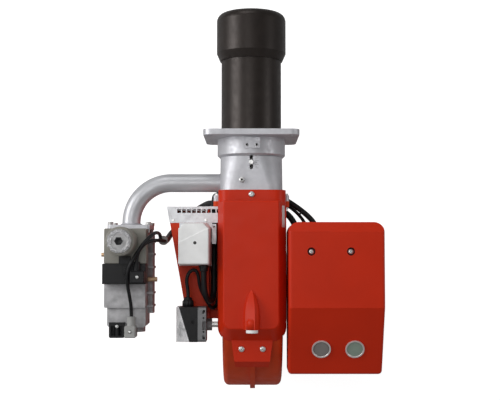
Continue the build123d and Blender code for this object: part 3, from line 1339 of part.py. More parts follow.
def control_box():
    """Burner control unit and terminal block inside the panel."""
    floor = PANEL_BOTTOM + 3
    body = block((150, 250), (-420, -320), (floor, floor + 70))
    body = fillet(body.edges().filter_by(Axis.Z), 4)
    body += block((158, 242), (-412, -328), (floor + 69, floor + 82))
    strip = block((110, 270), (-312, -296), (floor, floor + 22))
    return [body, strip]


def panel_screws():
    seat = PANEL_TOP - RECESS_DEPTH
    return [screw_down(x, y, seat, 18) for x, y in PANEL_SCREWS]


# ---- cables -------------------------------------------------------------
def gland(place, reach):
    """A cable gland on the plane place: neck, hexagon and domed nut."""
    neck = extrude(place.offset(-7) * Circle(GLAND_R - 2), 7)
    hexagon = extrude(place * RegularPolygon(GLAND_R + 1, 6), 5)
    dome = extrude(place.offset(4) * Circle(GLAND_R - 1), reach - 4)
    far = dome.edges().filter_by(GeomType.CIRCLE).sort_by_distance(
        place.offset(reach).origin)[0]
    return neck + hexagon + fillet(far, 3)


def cable_glands():
    servo = Plane(origin=(SERVO_GLAND[0], SERVO_Y[0] - 3, SERVO_GLAND[1]),
                  x_dir=(1, 0, 0), z_dir=(0, -1, 0))
    air = Plane(origin=(AIR_GLAND_X, AIR_Y[1], sum(AIR_Z) / 2), x_dir=(1, 0, 0),
                z_dir=(0, 1, 0))
    pieces = [gland(servo, 14), gland(air, 21)]
    for x in PANEL_GLANDS:
        down = Plane(origin=(x, PANEL_GLAND_Y, PANEL_BOTTOM), x_dir=(1, 0, 0),
                     z_dir=(0, 0, -1))
        pieces.append(gland(down, 14))
    return pieces


def bend_radii(points):
    """Radius of each bend, from the shorter run beside it."""
    radii = []
    for a, b, c in zip(points, points[1:], points[2:]):
        p, q, r = Vector(*a), Vector(*b), Vector(*c)
        turn = math.radians((q - p).get_angle(r - q))
        run = min((q - p).length, (r - q).length)
        radii.append(0.45 * run / math.tan(turn / 2))
    return radii


def cable(name, points, radius):
    """A plain tube along the route, written with its own name."""
    radii = bend_radii(points)
    path = FilletPolyline(*points, radius=radii)
    section = Plane(origin=path @ 0, z_dir=path % 0) * Circle(radius)
    solid = sweep(section, path)
    low = min(radii)
    print(f"{name}: length {path.length:.0f}, tightest bend {low:.0f}, "
          f"volume ratio {solid.volume / (math.pi * radius ** 2 * path.length):.3f}")
    save(solid, name)


PLUG_GREY_EXIT = PLUG_GREY_Y[1] + 21
PLUG_BLACK_EXIT = PLUG_BLACK_Y[1] + 21
CLIP_TOP = -4.0
LEAD_LONG = [(-272.5, PLUG_GREY_EXIT, 58.0), (-272.5, -402.0, 58.0),
             (-274.0, -376.0, 84.0), (-276.0, -348.0, 112.0),
             (-274.0, -316.0, 123.0), (-261.0, -292.0, 125.0),
             (-245.0, -266.0, 127.0), (-229.0, -246.0, 119.0),
             (-216.0, -232.0, 86.0), (-209.0, -235.0, 46.0),
             (-211.0, -247.0, 16.0), (-211.0, -247.0, CLIP_TOP)]
LEAD_SHORT = [(-255.0, PLUG_BLACK_EXIT, 115.0), (-255.0, -284.0, 115.0),
              (-243.0, -262.0, 113.0), (-226.0, -251.0, 90.0),
              (-212.0, -250.0, 56.0), (-202.0, -251.0, 20.0),
              (-202.0, -251.0, CLIP_TOP)]
CLIP = (-206.5, -249.0, -6.0)
CONDUIT_LEFT = [(-206.5, -249.0, -26.0), (-206.5, -249.0, -66.0),
                (-206.0, -246.0, -118.0), (-207.0, -240.0, -170.0),
                (-202.0, -226.0, -216.0), (-178.0, -204.0, -246.0),
                (-142.0, -168.0, -242.0), (-114.0, -154.0, -204.0),
                (-102.0, -154.0, -152.0), (-74.0, -160.0, -116.0),
                (-28.0, -164.0, -101.0), (22.0, -164.0, -99.0),
                (64.0, -168.0, -99.0), (92.0, -186.0, -98.0),
                (108.0, -212.0, -96.0), (113.0, -238.0, -92.0),
                (PANEL_GLANDS[0], PANEL_GLAND_Y, -68.0),
                (PANEL_GLANDS[0], PANEL_GLAND_Y, PANEL_BOTTOM - 14.0)]
SERVO_ROUTE = [(SERVO_GLAND[0], SERVO_Y[0] - 17, SERVO_GLAND[1]),
               (SERVO_GLAND[0], -352.0, 66.0), (-103.0, -382.0, 58.0),
               (-92.0, -392.0, 32.0), (-88.0, -378.0, -6.0),
               (-87.0, -346.0, -14.0), (-87.5, -304.0, -13.5),
               (-87.0, -258.0, -14.0), (-88.0, -212.0, -13.5),
               (-88.0, -168.0, -15.0), (-87.5, -150.0, -36.0),
               (-87.0, -140.0, -70.0), (-62.0, -132.0, -92.0),
               (-16.0, -130.0, -89.0), (34.0, -131.0, -88.0),
               (78.0, -146.0, -87.0), (118.0, -172.0, -88.0),
               (150.0, -200.0, -90.0), (163.0, -230.0, -88.0),
               (PANEL_GLANDS[2], PANEL_GLAND_Y, -66.0),
               (PANEL_GLANDS[2], PANEL_GLAND_Y, PANEL_BOTTOM - 14.0)]
AIR_ROUTE = [(AIR_GLAND_X, AIR_Y[1] + 21, sum(AIR_Z) / 2),
             (AIR_GLAND_X, -364.0, 46.0), (-149.0, -340.0, 46.0),
             (-142.0, -321.0, 46.0), (-128.0, -316.0, 45.0),
             (-120.5, -330.0, 44.0), (-119.0, -354.0, 38.0),
             (-108.5, -378.0, 30.0), (-92.0, -409.5, 8.0),
             (-80.0, -400.0, -15.0), (-73.5, -364.0, -19.0),
             (-73.0, -318.0, -18.5), (-73.5, -272.0, -19.0),
             (-73.0, -226.0, -18.5), (-76.0, -177.0, -19.0),
             (-76.5, -156.0, -30.0), (-76.5, -151.0, -60.0),
             (-66.0, -146.0, -98.0), (-28.0, -141.0, -107.0),
             (24.0, -141.0, -106.0), (68.0, -150.0, -104.0),
             (106.0, -174.0, -103.0), (130.0, -202.0, -101.0),
             (139.0, -231.0, -94.0), (PANEL_GLANDS[1], PANEL_GLAND_Y, -68.0),
             (PANEL_GLANDS[1], PANEL_GLAND_Y, PANEL_BOTTOM - 14.0)]


def cables():
    cable("valve_lead_long", LEAD_LONG, LEAD_R)
    cable("valve_lead_short", LEAD_SHORT, LEAD_R)
    cable("conduit_left", CONDUIT_LEFT, CONDUIT_R)
    cable("servo_conduit", SERVO_ROUTE, SERVO_CABLE_R)
    cable("air_switch_lead", AIR_ROUTE, SWITCH_LEAD_R)


def conduit_clip():
    """Grey end sleeve that gathers the two valve leads into the conduit."""
    x, y, z = CLIP
    sleeve = rod_z(x, y, (z - 20, z + 2), 11)
    sleeve = fillet(sleeve.edges().group_by(Axis.Z)[-1], 2)
    sleeve -= rod_z(x, y, (z - 21, z - 10), CONDUIT_R + SEAT)
    return sleeve


# ---- write every node ---------------------------------------------------
save(blast_tube(), "blast_tube")
save(head_shell(), "head_shell")
save(gas_tube(), "gas_tube")
save(gas_distributor(), "gas_distributor")
save(flame_disc(), "flame_disc")
save(group(rod_set(IGNITION_ANGLES)), "ignition_electrodes")
save(group(rod_set(PROBE_ANGLES)), "ionisation_probe")
save(rod_clamp(), "electrode_clamp")
save(head_lock_screw(), "head_lock_screw")
save(mounting_flange(), "mounting_flange")
save(pipe_coupling(), "pipe_coupling")
save(group(coupling_screws()), "small_screws")
save(group(test_nipples()), "test_nipples")
save(gas_pipe(), "gas_pipe")
save(gas_flange(), "gas_flange")
save(group(flange_bolts()), "flange_bolts")
save(valve_body(), "valve_body")
save(valve_coil_box(), "valve_coil_box")
save(valve_knob(), "valve_knob")
save(switch_box(), "valve_switch_box")
save(valve_dial(), "valve_dial")
save(din_plug(PLUG_BLACK_X, PLUG_BLACK_Y, (SWITCH_TOP, PLUG_BLACK_TOP),
              (-262.5, -247.5), 21, 115.0), "plug_black")
save(din_plug(PLUG_GREY_X, PLUG_GREY_Y, (BODY_TAIL_TOP, PLUG_GREY_TOP),
              (-282.0, -263.0), 21, 58.0), "plug_grey")
save(gas_pressure_switch(), "gas_pressure_switch")
save(fan_housing(), "fan_housing")
save(fan_wheel(), "fan_wheel")
save(motor_shaft(), "motor_shaft")
save(motor_plate(), "motor_plate")
save(motor_housing(), "motor_housing")
save(group(motor_bolts()), "motor_bolts")
save(group(lug_bolts()), "lug_bolts")
save(housing_cover(), "housing_cover")
save(sight_ring(), "sight_ring")
save(sight_glass(), "sight_glass")
save(group(cover_screws()), "cover_screws")
save(intake_box(), "intake_box")
save(intake_grille(), "intake_grille")
save(damper_blade(), "damper_blade")
save(damper_shaft(), "damper_shaft")
save(servo_base(), "servo_base")
save(servo_cover(), "servo_cover")
save(air_switch_base(), "air_switch_base")
save(air_switch_housing(), "air_switch_housing")
save(air_switch_cover(), "air_switch_cover")
save(air_switch_dial(), "air_switch_dial")
save(air_switch_nipple(), "air_switch_nipple")
save(panel_base(), "panel_base")
save(panel_cover(), "panel_cover")
save(group(panel_screws()), "panel_screws")
save(group(button_rings()), "button_rings")
save(pushed(BUTTON_X[0], RING_IN - 1, 1.5, 20), "reset_button")
save(pushed(BUTTON_X[1], RING_IN - SEAT, 1, 20), "signal_lens")
save(group(control_box()), "control_box")
save(group(cable_glands()), "cable_glands")
save(conduit_clip(), "conduit_clip")
cables()
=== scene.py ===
import math

import bpy
import numpy as np
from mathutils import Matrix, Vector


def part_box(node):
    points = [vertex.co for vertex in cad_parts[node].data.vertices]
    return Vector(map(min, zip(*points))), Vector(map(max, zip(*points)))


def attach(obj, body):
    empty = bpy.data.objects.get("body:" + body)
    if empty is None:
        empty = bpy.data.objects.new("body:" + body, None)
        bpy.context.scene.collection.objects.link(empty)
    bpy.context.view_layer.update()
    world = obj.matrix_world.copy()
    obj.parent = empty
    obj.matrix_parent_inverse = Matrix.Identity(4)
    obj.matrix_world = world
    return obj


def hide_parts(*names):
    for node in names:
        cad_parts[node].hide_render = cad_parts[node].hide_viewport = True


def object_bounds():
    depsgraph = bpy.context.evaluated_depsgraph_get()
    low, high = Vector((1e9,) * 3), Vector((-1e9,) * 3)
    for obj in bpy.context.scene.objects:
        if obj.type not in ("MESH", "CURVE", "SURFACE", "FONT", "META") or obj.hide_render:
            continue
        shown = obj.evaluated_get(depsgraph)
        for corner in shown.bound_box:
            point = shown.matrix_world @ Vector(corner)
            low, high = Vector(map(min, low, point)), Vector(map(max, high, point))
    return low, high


# Forced-draught gas burner: finishes, screws, cables and small fittings
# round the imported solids. Lengths are metres in the burner's own frame:
# +Y along the blast tube, +X towards the motor, +Z up.

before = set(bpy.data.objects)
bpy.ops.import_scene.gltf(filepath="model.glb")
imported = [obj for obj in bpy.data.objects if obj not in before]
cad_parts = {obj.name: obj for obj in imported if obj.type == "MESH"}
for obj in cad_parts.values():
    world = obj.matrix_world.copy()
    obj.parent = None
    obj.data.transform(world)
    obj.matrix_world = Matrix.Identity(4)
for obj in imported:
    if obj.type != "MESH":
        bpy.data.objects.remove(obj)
solid_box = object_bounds()
MM = 0.001


# ---- finishes -----------------------------------------------------------
class Finish:
    """A node tree on Object coordinates that ends in one Principled shader."""

    def __init__(self, name, colour, roughness, metallic=0.0, **sockets):
        self.material = bpy.data.materials.new(name)
        self.material.use_nodes = True
        self.material.diffuse_color = (*colour, 1)
        self.nodes = self.material.node_tree.nodes
        self.links = self.material.node_tree.links
        self.shader = self.nodes["Principled BSDF"]
        self.colour = colour
        self.shader.inputs["Base Color"].default_value = (*colour, 1)
        self.shader.inputs["Roughness"].default_value = roughness
        self.shader.inputs["Metallic"].default_value = metallic
        for socket, value in sockets.items():
            self.shader.inputs[socket.replace("_", " ")].default_value = value
        self.place = self.nodes.new("ShaderNodeTexCoord").outputs["Object"]
        self.height = None

    def stretched(self, scale):
        """Object coordinates scaled unevenly, for brushed or drawn marks."""
        mapping = self.nodes.new("ShaderNodeMapping")
        mapping.inputs["Scale"].default_value = scale
        self.links.new(self.place, mapping.inputs["Vector"])
        return mapping.outputs["Vector"]

    def noise(self, scale, detail=3.0, place=None):
        texture = self.nodes.new("ShaderNodeTexNoise")
        texture.inputs["Scale"].default_value = scale
        texture.inputs["Detail"].default_value = detail
        self.links.new(place or self.place, texture.inputs["Vector"])
        return texture.outputs["Fac"]

    def cells(self, scale, feature="F1", place=None):
        texture = self.nodes.new("ShaderNodeTexVoronoi")
        texture.feature = feature
        texture.inputs["Scale"].default_value = scale
        self.links.new(place or self.place, texture.inputs["Vector"])
        return texture.outputs

    def between(self, factor, low, high, at=(0.3, 0.7)):
        """Maps a factor to a value or to a colour between two ends."""
        if isinstance(low, tuple):
            ramp = self.nodes.new("ShaderNodeValToRGB")
            ramp.color_ramp.elements[0].position = at[0]
            ramp.color_ramp.elements[0].color = (*low, 1)
            ramp.color_ramp.elements[1].position = at[1]
            ramp.color_ramp.elements[1].color = (*high, 1)
            self.links.new(factor, ramp.inputs["Fac"])
            return ramp.outputs["Color"]
        scale = self.nodes.new("ShaderNodeMapRange")
        for socket, value in zip((1, 2, 3, 4), (*at, low, high)):
            scale.inputs[socket].default_value = value
        self.links.new(factor, scale.inputs["Value"])
        return scale.outputs["Result"]

    def mottled(self, factor, amount, at=(0.3, 0.7)):
        """Varies the base colour a little either way of itself."""
        low = tuple(c * (1 - amount) for c in self.colour)
        high = tuple(min(1.0, c * (1 + amount)) for c in self.colour)
        self.links.new(self.between(factor, low, high, at),
                       self.shader.inputs["Base Color"])
        return self

    def sheen_varies(self, factor, low, high):
        self.links.new(self.between(factor, low, high), self.shader.inputs["Roughness"])
        return self

    def bumped(self, factor, strength, distance):
        """Adds one layer of relief; several layers add up."""
        bump = self.nodes.new("ShaderNodeBump")
        bump.inputs["Strength"].default_value = strength
        bump.inputs["Distance"].default_value = distance
        self.links.new(factor, bump.inputs["Height"])
        if self.height:
            self.links.new(self.height, bump.inputs["Normal"])
        self.height = bump.outputs["Normal"]
        self.links.new(self.height, self.shader.inputs["Normal"])
        return self


def red_enamel():
    """Sprayed gloss red with orange peel and a faint dusty mottle."""
    f = Finish("red_enamel", (0.60, 0.027, 0.0055), 0.40, Specular_IOR_Level=0.16)
    f.mottled(f.noise(9, 4), 0.05)
    f.sheen_varies(f.noise(38, 3), 0.31, 0.44)
    return f.bumped(f.noise(420, 2), 0.12, 0.0004).material


def red_casting():
    """Red paint over a sand-cast shell: coarser grain, duller face."""
    f = Finish("red_casting", (0.66, 0.062, 0.012), 0.52, Specular_IOR_Level=0.18)
    f.mottled(f.noise(14, 5), 0.10)
    f.sheen_varies(f.noise(60, 3), 0.42, 0.58)
    f.bumped(f.noise(70, 3), 0.12, 0.001)
    return f.bumped(f.noise(620, 2), 0.25, 0.0005).material


def red_sheet():
    """Thin red coat on folded sheet, a little orange where it thins."""
    f = Finish("red_sheet", (0.62, 0.038, 0.008), 0.46, Specular_IOR_Level=0.2)
    f.mottled(f.noise(7, 4), 0.10)
    return f.bumped(f.noise(500, 2), 0.10, 0.0004).material


def heat_black():
    """Heat-proof brown-black paint on the rolled tube."""
    f = Finish("heat_black", (0.0125, 0.0092, 0.0078), 0.36,
               Specular_IOR_Level=0.42, Specular_Tint=(1, 0.90, 0.86, 1))
    f.mottled(f.noise(26, 5), 0.25)
    f.sheen_varies(f.noise(90, 3), 0.33, 0.45)
    f.bumped(f.noise(55, 4, f.stretched((1, 0.18, 1))), 0.10, 0.0006)
    return f.bumped(f.noise(900, 2), 0.16, 0.0003).material


def cast_aluminium():
    """Bare die-cast aluminium with fine grain and soft flow marks."""
    f = Finish("cast_aluminium", (0.60, 0.60, 0.63), 0.50, 0.72)
    f.mottled(f.noise(22, 5), 0.10)
    f.sheen_varies(f.noise(120, 3), 0.42, 0.60)
    f.bumped(f.noise(45, 4), 0.10, 0.0012)
    return f.bumped(f.noise(800, 3), 0.28, 0.0004).material


def rough_aluminium():
    """Sand-cast valve body: lumpier, with darker pits."""
    f = Finish("rough_aluminium", (0.47, 0.465, 0.475), 0.60, 0.35)
    f.mottled(f.noise(60, 6), 0.22)
    f.bumped(f.noise(160, 4), 0.35, 0.0010)
    return f.bumped(f.noise(700, 3), 0.30, 0.0005).material


def galvanised():
    """Zinc-coated sheet: flat crystals of slightly different grey."""
    f = Finish("galvanised", (0.68, 0.69, 0.71), 0.42, 0.60)
    f.mottled(f.cells(150)["Color"], 0.07, (0.0, 1.0))
    f.sheen_varies(f.noise(70, 2), 0.36, 0.50)
    return f.bumped(f.cells(150, "DISTANCE_TO_EDGE")["Distance"], 0.06, 0.0003).material


def silver_lacquer():
    """Silver paint on the bent gas pipe with faint streaks along it."""
    f = Finish("silver_lacquer", (0.56, 0.565, 0.59), 0.40, 0.45)
    f.mottled(f.noise(18, 4), 0.06)
    f.sheen_varies(f.noise(75, 3), 0.34, 0.48)
    return f.bumped(f.noise(380, 3), 0.14, 0.0004).material


def bright_zinc():
    """Clear zinc plating on screws, turned faces catching the light."""
    f = Finish("bright_zinc", (0.70, 0.70, 0.69), 0.30, 0.85)
    f.mottled(f.noise(240, 3), 0.12)
    return f.bumped(f.noise(1400, 2), 0.12, 0.0002).material


def drawn_steel():
    """Plain steel of the head's inner parts, marked along its length."""
    f = Finish("drawn_steel", (0.42, 0.41, 0.40), 0.38, 0.9)
    f.mottled(f.noise(60, 4, f.stretched((1, 0.1, 1))), 0.14)
    return f.bumped(f.noise(500, 2, f.stretched((1, 0.05, 1))), 0.12, 0.0003).material


def brass():
    f = Finish("turned_brass", (0.66, 0.44, 0.27), 0.34, 0.8)
    f.mottled(f.noise(190, 3), 0.15)
    return f.bumped(f.noise(1200, 2), 0.10, 0.0002).material


def moulded(name, colour, roughness, grain=0.18, **sockets):
    """Moulded plastic: spark-eroded grain and a faint flow mottle."""
    f = Finish(name, colour, roughness, **sockets)
    f.mottled(f.noise(30, 4), 0.07)
    f.sheen_varies(f.noise(160, 2), roughness - 0.04, roughness + 0.06)
    return f.bumped(f.cells(1500)["Distance"], grain, 0.0002).material


def clear_plastic():
    """Clear polycarbonate, slightly smoky, with moulding ripples."""
    f = Finish("clear_plastic", (0.80, 0.80, 0.81), 0.12, Transmission_Weight=0.7,
               IOR=1.45)
    f.mottled(f.noise(40, 3), 0.06)
    return f.bumped(f.noise(150, 3), 0.35, 0.0010).material


def cable_jacket():
    """Black cable sheath: matt, with the faint lie of the cores inside."""
    f = Finish("cable_jacket", (0.010, 0.010, 0.011), 0.48, Specular_IOR_Level=0.3)
    f.mottled(f.noise(110, 4), 0.35)
    return f.bumped(f.noise(300, 3), 0.20, 0.0005).material


def ceramic():
    f = Finish("glazed_ceramic", (0.80, 0.77, 0.70), 0.18)
    f.mottled(f.noise(70, 3), 0.06)
    return f.bumped(f.noise(260, 2), 0.05, 0.0003).material


def black_oxide():
    """Socket screws with a dark oxide skin, paler where the tool turns."""
    f = Finish("black_oxide", (0.06, 0.058, 0.056), 0.36, 0.8)
    f.mottled(f.noise(300, 3), 0.3)
    return f.bumped(f.noise(1200, 2), 0.15, 0.0002).material


def sight_glass():
    f = Finish("sight_glass", (0.55, 0.60, 0.58), 0.05, Transmission_Weight=0.9,
               IOR=1.5)
    return f.bumped(f.noise(60, 2), 0.04, 0.0004).material


FINISHES = {
    "red_enamel": red_enamel(), "red_casting": red_casting(),
    "red_sheet": red_sheet(), "heat_black": heat_black(),
    "cast_aluminium": cast_aluminium(), "rough_aluminium": rough_aluminium(),
    "galvanised": galvanised(), "silver_lacquer": silver_lacquer(),
    "bright_zinc": bright_zinc(), "drawn_steel": drawn_steel(), "brass": brass(),
    "clear_plastic": clear_plastic(), "cable_jacket": cable_jacket(),
    "ceramic": ceramic(), "sight_glass": sight_glass(), "black_oxide": black_oxide(),
    "black_plastic": moulded("black_plastic", (0.009, 0.009, 0.010), 0.44,
                             Specular_IOR_Level=0.3),
    "charcoal_plastic": moulded("charcoal_plastic", (0.045, 0.046, 0.048), 0.50),
    "beige_plastic": moulded("beige_plastic", (0.255, 0.245, 0.215), 0.48),
    "grey_plastic": moulded("grey_plastic", (0.36, 0.36, 0.35), 0.45),
    "white_plastic": moulded("white_plastic", (0.92, 0.92, 0.915), 0.34, 0.08),
    "button_grey": moulded("button_grey", (0.23, 0.21, 0.20), 0.40),
    "green_lens": moulded("green_lens", (0.27, 0.34, 0.28), 0.16, 0.04,
                          Coat_Weight=0.4),
    "ring_metal": moulded("ring_metal", (0.74, 0.66, 0.65), 0.36, 0.05, Metallic=0.45),
    "grey_casting": moulded("grey_casting", (0.20, 0.20, 0.205), 0.48, 0.08,
                            Metallic=0.4),
    "bare_label": moulded("bare_label", (0.72, 0.70, 0.69), 0.38, 0.02),
}

WEARS = {
    "red_enamel": "housing_cover panel_cover",
    "red_casting": "fan_housing",
    "red_sheet": "intake_box",
    "heat_black": "blast_tube head_shell",
    "cast_aluminium": "mounting_flange pipe_coupling motor_housing gas_flange",
    "grey_casting": "air_switch_base",
    "rough_aluminium": "valve_body",
    "galvanised": "intake_grille servo_base motor_plate damper_blade",
    "silver_lacquer": "gas_pipe",
    "bright_zinc": "head_lock_screw small_screws motor_bolts lug_bolts "
                   "cover_screws panel_screws air_switch_nipple",
    "drawn_steel": "gas_tube gas_distributor flame_disc electrode_clamp fan_wheel "
                   "motor_shaft damper_shaft flange_bolts",
    "brass": "test_nipples",
    "ceramic": "ignition_electrodes ionisation_probe",
    "clear_plastic": "valve_knob air_switch_cover",
    "sight_glass": "sight_glass",
    "black_plastic": "valve_switch_box plug_black gas_pressure_switch valve_dial "
                     "air_switch_housing cable_glands",
    "charcoal_plastic": "panel_base control_box",
    "beige_plastic": "valve_coil_box",
    "grey_plastic": "plug_grey conduit_clip air_switch_dial",
    "white_plastic": "servo_cover sight_ring",
    "ring_metal": "button_rings",
    "button_grey": "reset_button",
    "green_lens": "signal_lens",
    "cable_jacket": "valve_lead_long valve_lead_short conduit_left servo_conduit "
                    "air_switch_lead",
}
for finish_name, node_names in WEARS.items():
    for node_name in node_names.split():
        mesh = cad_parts[node_name].data
        mesh.materials.clear()
        mesh.materials.append(FINISHES[finish_name])


# ---- surfaces -----------------------------------------------------------
def surface(name, rows, finish, body="burner", wrap=True, first_pole=None,
            last_pole=None, smooth=True):
    """Skins a grid of points, rows[i, j], with quads; wrap joins the last
    column to the first, and a pole closes an end row with a fan."""
    rows = np.asarray(rows, dtype=float)
    count, width = rows.shape[:2]
    points = rows.reshape(-1, 3)
    index = np.arange(count * width).reshape(count, width)
    right = np.roll(index, -1, axis=1)
    columns = width if wrap else width - 1
    quads = np.stack([index[:-1, :columns], right[:-1, :columns],
                      right[1:, :columns], index[1:, :columns]], axis=-1)
    faces = quads.reshape(-1, 4).tolist()
    for pole, row, flip in ((first_pole, 0, True), (last_pole, -1, False)):
        if pole is not None:
            tip = len(points)
            points = np.vstack([points, pole])
            fan = np.stack([index[row], right[row], np.full(width, tip)], axis=-1)
            faces += (fan[:, ::-1] if flip else fan).tolist()
    mesh = bpy.data.meshes.new(name)
    mesh.from_pydata(points.tolist(), [], faces)
    mesh.polygons.foreach_set("use_smooth", np.full(len(mesh.polygons), smooth))
    mesh.materials.append(FINISHES[finish])
    mesh.update()
    piece = bpy.data.objects.new(name, mesh)
    bpy.context.scene.collection.objects.link(piece)
    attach(piece, body)
    return piece


def square_to(normal):
    """Two unit vectors that make a right-handed set with the normal."""
    normal = np.asarray(normal, dtype=float)
    normal = normal / np.linalg.norm(normal)
    spare = np.array([0.0, 1.0, 0.0]) if abs(normal[1]) < 0.9 else np.array([1.0, 0, 0])
    across = np.cross(spare, normal)
    across = across / np.linalg.norm(across)
    return across, np.cross(normal, across), normal


def turned_rings(profile, at, normal, sectors):
    """Rings of a turned shape: each profile pair is (radius, height), in mm,
    carried round the axis through at along normal."""
    across, along, normal = square_to(normal)
    angle = np.linspace(0, 2 * math.pi, sectors, endpoint=False)
    round_way = (np.cos(angle)[:, None] * across + np.sin(angle)[:, None] * along)
    profile = np.asarray(profile, dtype=float) * MM
    return (np.asarray(at)[None, None] + profile[:, 0, None, None] * round_way[None]
            + profile[:, 1, None, None] * normal)


def cross_screw(name, at, normal, head, height, shank, depth, turn=0.0,
                finish="bright_zinc"):
    """Pan-head screw. Height over the seat is h*sqrt(1-(r/R)^2/1.25) less the
    recess, which falls smoothly inside a cross of two crossed slots; below
    the seat a shank of the given radius and depth carries on."""
    across, along, normal = square_to(normal)
    sectors = 96
    radius = np.linspace(0.045, 1.0, 30)[:, None] * np.ones((1, sectors))
    angle = np.linspace(0, 2 * math.pi, sectors, endpoint=False)[None, :]
    dome = height * (0.25 + 0.75 * np.sqrt(np.clip(1 - radius ** 4, 0, 1)))
    x = radius * np.cos(angle - turn)
    y = radius * np.sin(angle - turn)
    arm = np.maximum(np.minimum(np.abs(x), np.abs(y)) - 0.075,
                     np.maximum(np.abs(x), np.abs(y)) - 0.52)
    inside = np.clip(-arm / 0.06, 0, 1)
    inside = inside * inside * (3 - 2 * inside)
    dome = dome - inside * height * 0.62 * np.clip(1.15 - radius, 0.3, 1)
    at = np.asarray(at, dtype=float)
    face = (at + head * MM * radius[..., None] * (np.cos(angle)[..., None] * across
            + np.sin(angle)[..., None] * along) + dome[..., None] * MM * normal)
    below = turned_rings([(shank, -depth), (shank, -0.02), (head, -0.02),
                          (head, 0.25 * height)], at, normal, sectors)
    middle = at + normal * MM * (dome[0, 0] - 0.05)
    rows = np.concatenate([below, face[::-1]])
    return surface(name, rows, finish, first_pole=at - normal * depth * MM,
                   last_pole=middle)


def joined(name, pieces, *replaced):
    """Makes one piece of several; it then stands for the CAD nodes named."""
    with bpy.context.temp_override(active_object=pieces[0],
                                   selected_editable_objects=pieces):
        bpy.ops.object.join()
    pieces[0].name = name
    if replaced:
        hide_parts(*replaced)
    return pieces[0]


def box_of(node):
    low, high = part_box(node)
    return np.array(low), np.array(high)


# ---- screws -------------------------------------------------------------
def housing_screws():
    """Cross-head screws of the red cover and of the actuator's lid."""
    places = [((0.5, -146.4, 84.0), 6.6, 3.4, 6), ((-22.2, -496, 65), 6.6, 3.4, 14),
              ((25.8, -496, 65), 6.6, 3.4, 14), ((-126, -256.5, 110), 4.6, 2.2, 8)]
    made = [cross_screw(f"cover_screw_{i}", np.array(p) * MM, (0, 0, 1), r, h, 2.4,
                        d, 0.3 + 0.5 * i) for i, (p, r, h, d) in enumerate(places)]
    return joined("housing_screws", made, "cover_screws")


def panel_head_screws():
    made = [cross_screw(f"panel_screw_{i}", np.array((x, -276, 111)) * MM, (0, 0, 1),
                        6.4, 3.2, 2.4, 18, 0.9 * i + 0.2)
            for i, x in enumerate((133.5, 221.5))]
    return joined("panel_head_screws", made, "panel_screws")


# ---- cables -------------------------------------------------------------
def cable(name, points, radius, node):
    """NURBS cable of the given radius whose control points are the route."""
    curve = bpy.data.curves.new(name, "CURVE")
    curve.dimensions = "3D"
    curve.bevel_depth = radius * MM
    curve.bevel_resolution = 6
    curve.resolution_u = 10
    curve.use_fill_caps = True
    spline = curve.splines.new("NURBS")
    spline.points.add(len(points) - 1)
    flat = np.hstack([np.array(points) * MM, np.ones((len(points), 1))]).ravel()
    spline.points.foreach_set("co", flat)
    spline.order_u = 3
    spline.use_endpoint_u = True
    curve.materials.append(FINISHES["cable_jacket"])
    piece = bpy.data.objects.new(name, curve)
    bpy.context.scene.collection.objects.link(piece)
    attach(piece, "burner")
    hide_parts(node)
    return piece


ROUTES = {
    "valve_lead_long": ([
        (-272.5, -423, 58), (-272.5, -402, 58), (-274, -376, 84), (-276, -348, 112),
        (-274, -316, 123), (-261, -292, 125), (-245, -266, 127), (-229, -246, 119),
        (-216, -232, 86), (-209, -235, 46), (-211, -247, 16), (-211, -247, -4)], 4),
    "valve_lead_short": ([
        (-255, -298.5, 115), (-255, -284, 115), (-243, -262, 113), (-226, -251, 90),
        (-212, -250, 56), (-202, -251, 20), (-202, -251, -4)], 4),
    "conduit_left": ([
        (-206.5, -249, -26), (-206.5, -249, -66), (-206, -246, -118),
        (-207, -240, -170), (-202, -226, -216), (-178, -204, -246), (-142, -168, -242),
        (-114, -154, -204), (-102, -154, -152), (-74, -160, -116), (-28, -164, -101),
        (22, -164, -99), (64, -168, -99), (92, -186, -98), (108, -212, -96),
        (113, -238, -92), (114, -252, -68), (114, -252, -40)], 7.5),
    "servo_conduit": ([
        (-108, -321.5, 66), (-108, -352, 66), (-103, -382, 58), (-92, -392, 32),
        (-88, -378, -6), (-87, -346, -14), (-87.5, -304, -13.5), (-87, -258, -14),
        (-88, -212, -13.5), (-88, -168, -15), (-87.5, -150, -36), (-87, -140, -70),
        (-62, -132, -92), (-16, -130, -89), (34, -131, -88), (78, -146, -87),
        (118, -172, -88), (150, -200, -90), (163, -230, -88), (162, -252, -66),
        (162, -252, -40)], 6.6),
    "air_switch_lead": ([
        (-144.5, -380, 46), (-144.5, -364, 46), (-149, -340, 46), (-142, -321, 46),
        (-128, -316, 45), (-120.5, -330, 44), (-119, -354, 38), (-108.5, -378, 30),
        (-92, -409.5, 8), (-80, -400, -15), (-73.5, -364, -19), (-73, -318, -18.5),
        (-73.5, -272, -19), (-73, -226, -18.5), (-76, -177, -19), (-76.5, -156, -30),
        (-76.5, -151, -60), (-66, -146, -98), (-28, -141, -107), (24, -141, -106),
        (68, -150, -104), (106, -174, -103), (130, -202, -101), (139, -231, -94),
        (138, -252, -68), (138, -252, -40)], 4),
}
for route_name, (route, route_radius) in ROUTES.items():
    cable(route_name + "_sheath", route, route_radius, route_name)

# ---- small fittings -----------------------------------------------------
KNOB_AXIS = (-286.5, -254.0)     # middle of the regulator knob, in mm
SWITCH_BASE_RIGHT = -102.0       # right face of the air switch's base
RECESS_FLOOR = 111.05            # just above the floor of the panel's screw wells
SUNK_HEAD_HALF_WIDTH = 6.6               # half the width of a sunk screw's head


